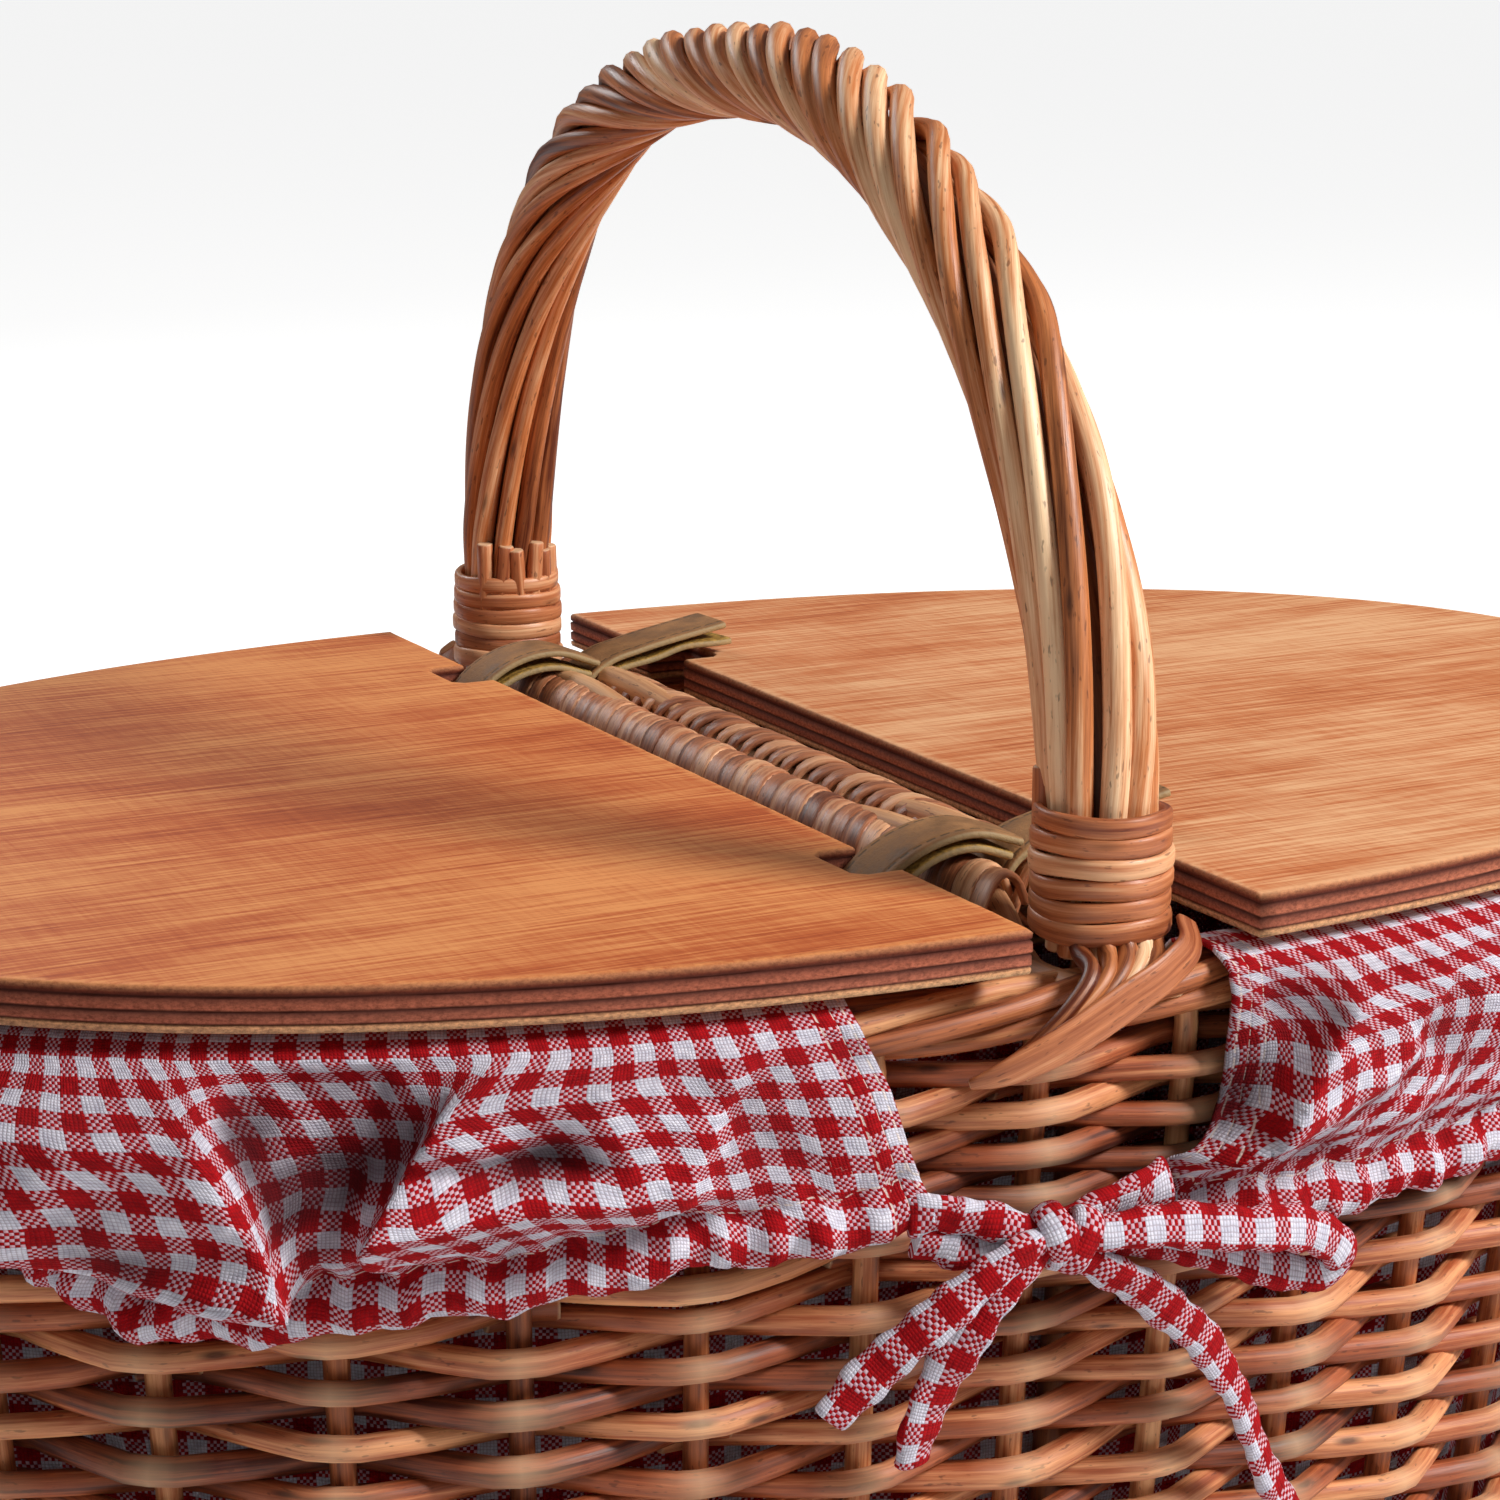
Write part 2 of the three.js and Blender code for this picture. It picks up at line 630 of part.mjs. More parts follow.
// The strap over its rail, drawn for +X: from the valley over the rail and down into the notch.
function strapLoop() {
  const inner = WRAP_RADIUS + CLEAR;
  const outer = inner + STRAP_THICK;
  const top = Math.PI / 2;
  const outerEdge = [[STRAP_END_X, RAIL_Z + outer - STRAP_END_DROP]];
  const innerEdge = [[STRAP_END_X, RAIL_Z + inner - STRAP_END_DROP]];
  for (let i = 0; i <= STRAP_ARC_STEPS; i++) {
    const angle = top * (STRAP_ARC_FROM - (i / STRAP_ARC_STEPS) * STRAP_ARC_TURN);
    outerEdge.push([RAIL_X + outer * Math.cos(angle), RAIL_Z + outer * Math.sin(angle)]);
    innerEdge.push([RAIL_X + inner * Math.cos(angle), RAIL_Z + inner * Math.sin(angle)]);
  }
  outerEdge.push([STRAP_REACH_X - STRAP_BEND_X, STRAP_REACH_Z + STRAP_THICK]);
  outerEdge.push([STRAP_REACH_X, STRAP_REACH_Z + STRAP_THICK]);
  innerEdge.push([STRAP_REACH_X - STRAP_BEND_X, STRAP_REACH_Z]);
  innerEdge.push([STRAP_REACH_X, STRAP_REACH_Z]);
  return [...outerEdge, ...innerEdge.reverse()];
}

const mirrorX = (corners, sign) => corners.map(([x, z]) => [sign * x, z]);
const tabTop = LID_Z - TAB_DROP;
const tabBottom = tabTop - STRAP_THICK;
const headTop = tabBottom - CLEAR / 2;
const tab = [[TAB_START_X, tabBottom], [TAB_END_X, tabBottom], [TAB_END_X, tabTop], [TAB_START_X, tabTop]];

function tackGeometry(x, y) {
  const profile = [
    new THREE.Vector2(0, headTop - TACK_HEAD_THICK),
    new THREE.Vector2(TACK_HEAD_RADIUS, headTop - TACK_HEAD_THICK / 2),
    new THREE.Vector2(TACK_HEAD_RADIUS, headTop),
    new THREE.Vector2(TACK_RADIUS, headTop),
    new THREE.Vector2(TACK_RADIUS, LID_Z + TACK_DEPTH - CLEAR),
    new THREE.Vector2(0, LID_Z + TACK_DEPTH - CLEAR),
  ];
  const geometry = new THREE.LatheGeometry(profile, TACK_SIDES);
  geometry.rotateX(Math.PI / 2);
  geometry.translate(x, y, 0);
  return geometry;
}

function tackHole(x, y) {
  const from = new THREE.Vector3(x, y, headTop - TACK_HEAD_THICK);
  const to = new THREE.Vector3(x, y, LID_Z + TACK_DEPTH);
  return toSolid(lineBar(from, to, TACK_HOLE_RADIUS, TACK_SIDES));
}

for (const [side, sign] of [["left", -1], ["right", 1]]) {
  const holes = [];
  for (const [end, y] of [["near", -NOTCH_Y], ["far", NOTCH_Y]]) {
    const place = `${side}_${end}`;
    const from = y - STRAP_HALF_WIDTH;
    const to = y + STRAP_HALF_WIDTH;
    addPart(`strap_loop_${place}`, plateXZ(mirrorX(strapLoop(), sign), from, to), "leather");
    const tabHoles = TACK_X.map((x) => tackHole(sign * x, y));
    addPart(`strap_tab_${place}`, cut(plateXZ(mirrorX(tab, sign), from, to), tabHoles), "leather");
    TACK_X.forEach((x, i) => addPart(`strap_tack_${place}_${i + 1}`, tackGeometry(sign * x, y), "tack"));
    holes.push(...tabHoles);
  }
  const board = new THREE.ExtrudeGeometry(lidShape(sign), { depth: LID_THICK, bevelEnabled: false });
  board.translate(0, 0, LID_Z);
  addPart(`lid_${side}`, cut(board, holes), "plywood");
}

// ---------------------------------------------------------------- liner

const bagInner = BAG_OFFSET - BAG_THICK;
addPart(
  "liner_bag",
  levelsGeometry([
    [BAG_OFFSET - BAG_CORNER, BAG_BOTTOM_Z],
    [BAG_OFFSET, BAG_BOTTOM_Z + BAG_CORNER],
    [BAG_OFFSET, BAG_TOP_Z],
    [bagInner, BAG_TOP_Z],
    [bagInner, BAG_BOTTOM_Z + BAG_CORNER],
    [bagInner - BAG_CORNER, BAG_BOTTOM_Z + BAG_THICK],
  ]),
  "gingham",
);

// A flap turned over the rim.
function flapGeometry() {
  const from = turnAtX(-FLAP_NARROW_EDGE_X, 1);
  const to = turnAtX(-FLAP_WIDE_EDGE_X, -1) + 1;
  const loops = [];
  for (let i = 0; i <= FLAP_STEPS; i++) {
    const turn = from + ((to - from) * i) / FLAP_STEPS;
    loops.push(FLAP_SECTION.map(([offset, z]) => wallPoint(turn, offset, z)));
  }
  return loftGeometry(loops, false, FLAP_SECTION.map(([offset, z]) => new THREE.Vector2(offset, z)));
}
addPart("liner_flap_left", flapGeometry(), "gingham");
addPart("liner_flap_right", flapGeometry(), "gingham").rotation.z = Math.PI;

// The tie: a strip from each hem to the knot, two loops and two tails.
const tieStrip = (corners, faceY) => toSolid(plateXZ(corners, -faceY - TIE_THICK, -faceY));
const knot = new THREE.SphereGeometry(TIE_KNOT_RADIUS, TIE_KNOT_SIDES, TIE_KNOT_RINGS);
knot.rotateX(Math.PI / 2);
knot.translate(TIE_KNOT[0], -TIE_FACE_Y - TIE_KNOT_RADIUS, TIE_KNOT[1]);
const tieParts = [
  ...TIE_STRIPS.map((corners) => tieStrip(corners, TIE_FACE_Y)),
  ...TIE_LOOPS.map((corners) => tieStrip(corners, TIE_LOOPS_FACE_Y)),
];
addAtBothFeet("liner_tie", fromSolid(joined([toSolid(knot), ...tieParts])), "gingham");

export default basket;
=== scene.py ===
import math
import bpy
import numpy as np
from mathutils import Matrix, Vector


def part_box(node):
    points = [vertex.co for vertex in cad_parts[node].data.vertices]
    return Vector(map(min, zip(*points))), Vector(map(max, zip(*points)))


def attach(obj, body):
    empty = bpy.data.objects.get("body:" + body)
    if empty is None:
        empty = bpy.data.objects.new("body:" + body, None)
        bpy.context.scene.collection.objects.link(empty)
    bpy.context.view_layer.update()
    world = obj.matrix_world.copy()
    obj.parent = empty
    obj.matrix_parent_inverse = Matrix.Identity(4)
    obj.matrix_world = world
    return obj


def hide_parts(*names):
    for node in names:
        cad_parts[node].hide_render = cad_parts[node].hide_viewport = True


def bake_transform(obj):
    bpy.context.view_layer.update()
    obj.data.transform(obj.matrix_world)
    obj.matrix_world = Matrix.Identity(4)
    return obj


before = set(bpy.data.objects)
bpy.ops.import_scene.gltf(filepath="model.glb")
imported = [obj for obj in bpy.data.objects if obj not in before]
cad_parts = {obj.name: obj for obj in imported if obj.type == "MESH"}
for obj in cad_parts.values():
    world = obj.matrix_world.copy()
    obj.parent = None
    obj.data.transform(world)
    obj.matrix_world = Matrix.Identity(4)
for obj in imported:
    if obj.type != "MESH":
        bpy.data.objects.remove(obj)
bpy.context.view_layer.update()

# Looks of an oval wicker picnic basket. Shapes are worked out in millimetres and stored in metres.
# "s" is a length along the rim, from the near centre towards -X, and "off" is a distance outward
# from the middle of the wall. Near is the -Y side, left the -X side.
MM = 0.001
UP = np.array([0.0, 0.0, 1.0])
ACROSS = np.array([1.0, 0.0, 0.0])
SIDES = {"left": -1, "right": 1}
TURN = 2 * np.pi
rng = np.random.default_rng(11)


def box_mm(node):
    lo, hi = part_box(node)
    return np.array(lo) / MM, np.array(hi) / MM


def unit(v):
    return v / np.maximum(np.linalg.norm(v, axis=-1, keepdims=True), 1e-9)


def lengths(points):
    """The length travelled along the first axis of an array of points."""
    steps = np.linalg.norm(np.diff(points, axis=0), axis=-1)
    return np.concatenate([0 * steps[:1], np.cumsum(steps, axis=0)])


def smooth(x, a, b):
    """Goes smoothly from 0 at a to 1 at b."""
    t = np.clip((x - a) / (b - a), 0, 1)
    return t * t * (3 - 2 * t)


def spline(points, step=1.5):
    """Rows of numbers along a smooth curve through the given rows, about step apart in the first three."""
    p = np.asarray(points, float)
    t = lengths(p[:, :3])
    slope = np.gradient(p, t, axis=0)
    at = np.linspace(0, t[-1], max(int(t[-1] / step) + 1, 3))
    i = np.clip(np.searchsorted(t, at, side="right") - 1, 0, len(t) - 2)
    h = (t[i + 1] - t[i])[:, None]
    w = (at - t[i])[:, None] / h
    return (
        (1 + 2 * w) * (1 - w) ** 2 * p[i]
        + w * (1 - w) ** 2 * h * slope[i]
        + w * w * (3 - 2 * w) * p[i + 1]
        + w * w * (w - 1) * h * slope[i + 1]
    )


def lumps(a, b, seed, waves=9, low=0.5, high=1.6):
    """Smooth uneven height between about -1 and 1 over two coordinates."""
    draw = np.random.default_rng(seed)
    total = 0
    for _ in range(waves):
        f = draw.uniform(low, high, 2) * draw.choice([-1, 1], 2)
        total = total + np.sin(f[0] * a + f[1] * b + draw.uniform(0, 6.28))
    return total / np.sqrt(waves)


# ---------------------------------------------------------------- the oval wall

OVAL_POWER = 2.25
FLARE = 20.0
WALL_FOOT_Z = 7.8
RIM_Z = 204.0
RIM_REACH = 6.2
STAKES = 36
ARC_STEPS = 4096
rim_hi = box_mm("stakes_and_rim_border")[1]
RIM_HALF_X, RIM_HALF_Y = rim_hi[0] - RIM_REACH, rim_hi[1] - RIM_REACH
BASE_HALF_X, BASE_HALF_Y = RIM_HALF_X - FLARE, RIM_HALF_Y - FLARE


def oval(turn, half_x, half_y):
    c, s = np.cos(TURN * turn), np.sin(TURN * turn)
    p = 2 / OVAL_POWER
    return half_x * np.sign(c) * np.abs(c) ** p, half_y * np.sign(s) * np.abs(s) ** p


arc_turn = np.linspace(-0.25, -1.25, ARC_STEPS + 1)
arc_length = lengths(np.stack(oval(arc_turn, RIM_HALF_X, RIM_HALF_Y), -1))
PERIMETER = arc_length[-1]
HALF = PERIMETER / 2
PITCH = PERIMETER / STAKES


def wall(s, off, z):
    s, off, z = np.broadcast_arrays(*(np.asarray(v, float) for v in (s, off, z)))
    turn = np.interp(np.mod(s, PERIMETER), arc_length, arc_turn)
    flare = FLARE * (z - WALL_FOOT_Z) / (RIM_Z - WALL_FOOT_Z)
    x, y = oval(turn, BASE_HALF_X + flare + off, BASE_HALF_Y + flare + off)
    return np.stack([x, y, z], -1)


def outward(s, z):
    return unit(wall(s, 1, z) - wall(s, 0, z))


# ---------------------------------------------------------------- mesh building

END_BEVEL = 0.22
END_TAPER = 0.6
CLOTH_WRAP = 1.25
GRAIN_SPAN = 900.0


def grid_faces(rows, columns, row_count, column_count):
    """Quads over a grid of points. A row or column after the last is the first one again."""
    i, j = np.meshgrid(rows, columns, indexing="ij")
    k, l = (i + 1) % row_count, (j + 1) % column_count
    corners = [i * column_count + j, i * column_count + l, k * column_count + l, k * column_count + j]
    return np.stack(corners, -1).reshape(-1, 4)


class Piece:
    """One mesh made of rods, strips and sheets.

    Points carry "grain" (where they are in the stuff itself, in mm), "tone" and "end".
    """

    def __init__(self):
        self.points, self.grain, self.tone, self.end = [], [], [], []
        self.loops, self.sizes, self.sharp = [], [], []
        self.count = 0

    def put(self, points, grain, tone, end, faces):
        n = len(points)
        self.points.append(points)
        self.grain.append(np.broadcast_to(grain, (n, 3)))
        self.tone.append(np.broadcast_to(tone, n))
        self.end.append(np.broadcast_to(end, n))
        base = self.count
        self.count += n
        self.faces(faces + base)
        return base

    def faces(self, faces, sharp=False):
        faces = np.asarray(faces)
        self.loops.append(faces.ravel())
        self.sizes.append(np.full(len(faces), faces.shape[1]))
        self.sharp.append(np.full(len(faces), sharp))

    def rod(
        self, path, thick, wide=None, up=UP, sides=8, square=2.0,
        tone=None, closed=False, end=0.0, cut=1.0, seed=True, cloth=False,
    ):
        """A rod or strip along a path: thick is its half size along up, wide the half size across."""
        path = np.asarray(path, float)
        thick = np.broadcast_to(thick, len(path)).astype(float)
        wide = thick if wide is None else np.broadcast_to(wide, len(path)).astype(float)
        up = np.broadcast_to(up, path.shape)
        tangent = np.roll(path, -1, 0) - np.roll(path, 1, 0) if closed else np.gradient(path, axis=0)
        tangent = unit(tangent)
        tone = np.broadcast_to(rng.uniform() if tone is None else tone, (len(path), sides))
        end = np.broadcast_to(end, (len(path), sides))
        if not closed:
            bevel = END_BEVEL * np.minimum(thick, wide)
            first = path[:1] - tangent[:1] * bevel[0]
            last = path[-1:] + tangent[-1:] * bevel[-1]
            path = np.concatenate([first, path, last])
            tangent, up, tone = (np.concatenate([v[:1], v, v[-1:]]) for v in (tangent, up, tone))
            taper = END_TAPER * bevel
            thick, wide = (np.concatenate([v[:1] - taper[0], v, v[-1:] - taper[-1]]) for v in (thick, wide))
            end = np.concatenate([np.full((1, sides), cut), end, np.full((1, sides), cut)])
        side = unit(np.cross(tangent, up))
        normal = np.cross(side, tangent)
        angle = TURN * (np.arange(sides) + 0.5) / sides
        c, s = (np.sign(v) * np.abs(v) ** (2 / square) for v in (np.cos(angle), np.sin(angle)))
        a, b = thick[:, None] * c, wide[:, None] * s
        points = path[:, None] + normal[:, None] * a[..., None] + side[:, None] * b[..., None]
        along = np.broadcast_to(lengths(path)[:, None], a.shape)
        shift = rng.uniform(0, GRAIN_SPAN, 3) if seed else np.zeros(3)
        grain = np.stack([a, b, along], -1) + shift
        if cloth:
            across = np.arcsin(np.sin(angle)) * 2 / np.pi * wide[:, None] * CLOTH_WRAP
            grain = np.stack([across + shift[0], along + shift[1], 0 * a], -1)
        n = len(path)
        quads = grid_faces(np.arange(n if closed else n - 1), np.arange(sides), n, sides)
        base = self.put(points.reshape(-1, 3), grain.reshape(-1, 3), tone.ravel(), end.ravel(), quads)
        if not closed:
            ring = np.arange(sides)
            self.faces(np.stack([ring[::-1], ring + (n - 1) * sides]) + base, True)

    def sheet(self, points, thick, grain, tone=0.5, end=0.0, closed=False):
        """A sheet of even thickness from a grid of points on its outer face.

        closed joins the last row to the first.
        """
        points = np.asarray(points, float)
        n, m = points.shape[:2]
        du = np.roll(points, -1, 0) - np.roll(points, 1, 0) if closed else np.gradient(points, axis=0)
        normal = unit(np.cross(du, np.gradient(points, axis=1)))
        both = np.concatenate([points, points - normal * thick]).reshape(-1, 3)
        top = grid_faces(np.arange(n if closed else n - 1), np.arange(m - 1), n, m)
        top = np.roll(top[:, ::-1], 1, axis=1)
        under = top[:, ::-1] + n * m
        rows, cols = np.arange(n), np.arange(m)
        if closed:
            edge = np.stack([rows * m, np.roll(rows, -1) * m], -1)
            edges = [edge[:, ::-1], edge + m - 1]
        else:
            edge = np.concatenate([
                rows[:-1] * m, (n - 1) * m + cols[:-1], rows[:0:-1] * m + m - 1, cols[:0:-1],
            ])
            edges = [np.stack([np.roll(edge, -1), edge], -1)]
        rims = [np.concatenate([e, e[:, ::-1] + n * m], -1) for e in edges]
        grain = np.concatenate([grain, grain]).reshape(-1, 3)
        tone, end = (np.tile(np.broadcast_to(v, (n, m)).ravel(), 2) for v in (tone, end))
        self.put(both, grain, tone, end, np.concatenate([top, under, *rims]))

    def build(self, name, material, body, nodes, half_turn=False):
        points = np.concatenate(self.points) * ([-1, -1, 1] if half_turn else [1, 1, 1])
        sizes = np.concatenate(self.sizes)
        loops = np.concatenate(self.loops)
        mesh = bpy.data.meshes.new(name)
        mesh.vertices.add(len(points))
        mesh.vertices.foreach_set("co", (points * MM).astype(np.float32).ravel())
        mesh.loops.add(len(loops))
        mesh.loops.foreach_set("vertex_index", loops.astype(np.int32))
        mesh.polygons.add(len(sizes))
        mesh.polygons.foreach_set("loop_start", (np.cumsum(sizes) - sizes).astype(np.int32))
        mesh.update(calc_edges=True)
        for key, values in (("tone", self.tone), ("end", self.end)):
            layer = mesh.attributes.new(key, "FLOAT", "POINT")
            layer.data.foreach_set("value", np.concatenate(values).astype(np.float32))
        layer = mesh.attributes.new("grain", "FLOAT_VECTOR", "POINT")
        layer.data.foreach_set("vector", np.concatenate(self.grain).astype(np.float32).ravel())
        layer = mesh.attributes.new("sharp_face", "BOOLEAN", "FACE")
        layer.data.foreach_set("value", np.concatenate(self.sharp))
        obj = bpy.data.objects.new(name, mesh)
        bpy.context.scene.collection.objects.link(obj)
        mesh.materials.append(material)
        if isinstance(body, str):
            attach(obj, body)
        else:
            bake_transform(obj)
        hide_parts(*nodes)


# ---------------------------------------------------------------- materials


def linear(colour):
    """An sRGB colour, 0 to 255, as the linear colour that a node takes."""
    parts = (v / 255 for v in colour)
    return (*(v / 12.92 if v <= 0.04045 else ((v + 0.055) / 1.055) ** 2.4 for v in parts), 1.0)


class Look:
    """A procedural material, with short ways to add and join nodes."""

    def __init__(self, name):
        self.material = bpy.data.materials.new(name)
        self.material.use_nodes = True
        self.tree = self.material.node_tree
        self.shader = self.tree.nodes["Principled BSDF"]

    def node(self, kind, inputs=(), **settings):
        made = self.tree.nodes.new("ShaderNode" + kind)
        for key, value in settings.items():
            setattr(made, key, value)
        for key, value in dict(inputs).items():
            self.join(value, made.inputs[key])
        return made

    def join(self, value, socket):
        if isinstance(value, bpy.types.Node):
            value = value.outputs[0]
        if isinstance(value, bpy.types.NodeSocket):
            self.tree.links.new(value, socket)
        else:
            socket.default_value = value

    def read(self, name):
        made = self.node("Attribute", attribute_name=name)
        return made.outputs["Vector"] if name == "grain" else made.outputs["Fac"]

    def place(self):
        """Where a point is on the object at rest, in mm."""
        return self.scaled(self.node("TexCoord").outputs["Object"], (1 / MM, 1 / MM, 1 / MM))

    def math(self, operation, a, b=0.0, c=0.0):
        made = self.node("Math", operation=operation)
        for socket, value in zip(made.inputs, (a, b, c)):
            self.join(value, socket)
        return made.outputs[0]

    def times(self, a, b):
        return self.math("MULTIPLY", a, b)

    def less(self, a, b):
        return self.math("SUBTRACT", a, b)

    def away(self, a, b):
        """How far a value is from another, whichever is the larger."""
        return self.math("ABSOLUTE", self.less(a, b))

    def total(self, first, *others):
        """A value and (value, share) pairs, added up."""
        for value, share in others:
            first = self.math("MULTIPLY_ADD", value, share, first)
        return first

    def scaled(self, vector, scale):
        return self.node("VectorMath", {0: vector, 1: scale}, operation="MULTIPLY").outputs[0]

    def split(self, vector):
        return self.node("SeparateXYZ", {0: vector}).outputs

    def noise(self, vector, scale=1.0, detail=3.0, rough=0.55, distort=0.0):
        """Cloudy noise. Three numbers for the scale stretch it along the axes."""
        if isinstance(scale, tuple):
            vector, scale = self.scaled(vector, scale), 1.0
        inputs = {"Vector": vector, "Scale": scale, "Detail": detail}
        inputs |= {"Roughness": rough, "Distortion": distort}
        return self.node("TexNoise", inputs).outputs["Fac"]

    def ramp(self, value, *stops):
        made = self.node("ValToRGB", {"Fac": value})
        band = made.color_ramp
        while len(band.elements) < len(stops):
            band.elements.new(0.5)
        for element, (at, colour) in zip(band.elements, stops):
            element.position = at
            element.color = linear(colour)
        return made.outputs[0]

    def range(self, value, a, b, low=0.0, high=1.0):
        inputs = {"Value": value, "From Min": a, "From Max": b, "To Min": low, "To Max": high}
        return self.node("MapRange", inputs, clamp=True).outputs[0]

    def mix(self, factor, a, b):
        made = self.node("Mix", data_type="RGBA")
        for key, value in ((0, factor), (6, a), (7, b)):
            self.join(linear(value) if isinstance(value, tuple) else value, made.inputs[key])
        return made.outputs[2]

    def bump(self, height, strength, depth_mm, normal=None):
        made = self.node("Bump", {"Height": height, "Strength": strength, "Distance": depth_mm * MM})
        if normal is not None:
            self.join(normal, made.inputs["Normal"])
        return made.outputs[0]

    def finish(self, colour, roughness, normal, **others):
        inputs = {"Base Color": colour, "Roughness": roughness, "Normal": normal, **others}
        for key, value in inputs.items():
            self.join(value, self.shader.inputs[key.replace("_", " ")])
        return self.material


def willow_look(name, dark, middle, light, knots=1.0, gloss=0.5, spread=0.26):
    """Buff willow: streaks along the rod, a tone for each rod, dark bud knots, pale cut ends and kinks."""
    look = Look(name)
    grain, tone, end = look.read("grain"), look.read("tone"), look.read("end")
    streak = look.noise(grain, (0.8, 0.8, 0.03), 4.0, 0.68)
    patch = look.noise(grain, (0.12, 0.12, 0.02), 2.0)
    level = look.total(0.0, (streak, 0.62), (patch, 0.36), (look.less(tone, 0.5), spread))
    colour = look.ramp(level, (0.28, dark), (0.48, middle), (0.68, light))
    spot_at = look.scaled(grain, (0.16, 0.16, 0.045))
    spot = look.node("TexVoronoi", {"Vector": spot_at, "Scale": 1.0, "Randomness": 1.0}, feature="F1")
    keep = look.math("GREATER_THAN", look.noise(spot.outputs["Position"], (3, 3, 3)), 0.48)
    knot = look.times(look.range(spot.outputs["Distance"], 0.06, 0.17, knots, 0.0), keep)
    colour = look.mix(look.times(knot, 0.8), colour, (58, 24, 12))
    fleck = look.range(look.noise(grain, (1.1, 1.1, 0.3), 2.0), 0.64, 0.7)
    colour = look.mix(look.times(fleck, 0.55), colour, (74, 32, 16))
    colour = look.mix(look.times(end, 0.75), colour, CUT_PALE)
    fibre = look.noise(grain, (3.2, 3.2, 0.07), 3.0)
    swelling = look.noise(grain, (0.3, 0.3, 0.09), 1.0)
    height = look.total(0.0, (fibre, 0.3), (swelling, 0.7), (knot, -0.35))
    rough = look.range(look.total(streak, (end, 0.6)), 0.3, 0.9, gloss - 0.08, gloss + 0.2)
    return look.finish(colour, rough, look.bump(height, 0.5, 0.55), Specular_IOR_Level=0.5)


def plywood_look(name, dark, middle, light, edge):
    """Stained plywood: grain along X, faint cross scratches, worn pale rim and the plies on its edge."""
    look = Look(name)
    place = look.place()
    fine = look.noise(place, (0.03, 0.85, 1.0), 5.0, 0.7)
    cross = look.noise(place, (0.95, 0.035, 1.0), 4.0, 0.65)
    bands = look.noise(place, (0.006, 0.035, 1.0), 3.0, 0.5, 0.6)
    cloud = look.noise(place, (0.011, 0.017, 1.0), 4.0, 0.6)
    level = look.total(0.0, (fine, 0.6), (cross, 0.13), (bands, 0.32), (cloud, 0.32))
    colour = look.ramp(level, (0.515, dark), (0.645, middle), (0.79, light))
    pores = look.range(look.noise(place, (0.09, 2.6, 1.0), 2.0), 0.62, 0.76)
    colour = look.mix(look.times(pores, 0.3), colour, dark)
    wear = look.times(look.read("end"), look.range(look.noise(place, 0.35, 4.0, 0.7), 0.34, 0.6))
    colour = look.mix(look.times(wear, 0.85), colour, light)
    # From the underside to the top: two pale plies, dark glue lines, the middle plies and the worn top.
    ply = look.ramp(
        look.split(look.read("grain"))[2],
        (0.0, (232, 188, 142)), (0.15, (220, 158, 112)), (0.2, (70, 26, 16)), (0.25, (204, 118, 90)),
        (0.46, (64, 24, 15)), (0.52, edge), (0.76, (70, 24, 14)), (0.84, (120, 54, 32)),
        (1.0, (206, 140, 96)),
    )
    rough_ply = look.noise(place, (0.9, 0.9, 1.5), 5.0, 0.75)
    ply = look.mix(look.range(rough_ply, 0.36, 0.6, 0.6, 0.0), ply, (72, 26, 14))
    on_edge = look.read("tone")
    colour = look.mix(on_edge, colour, ply)
    rough = look.total(look.range(level, 0.35, 0.75, 0.42, 0.56), (on_edge, 0.3))
    height = look.total(0.0, (fine, 0.5), (cross, 0.12), (look.times(rough_ply, on_edge), 3.5))
    return look.finish(colour, rough, look.bump(height, 0.4, 0.25), Specular_IOR_Level=0.3)


CHECK_MM = 4.05
YARNS = 6


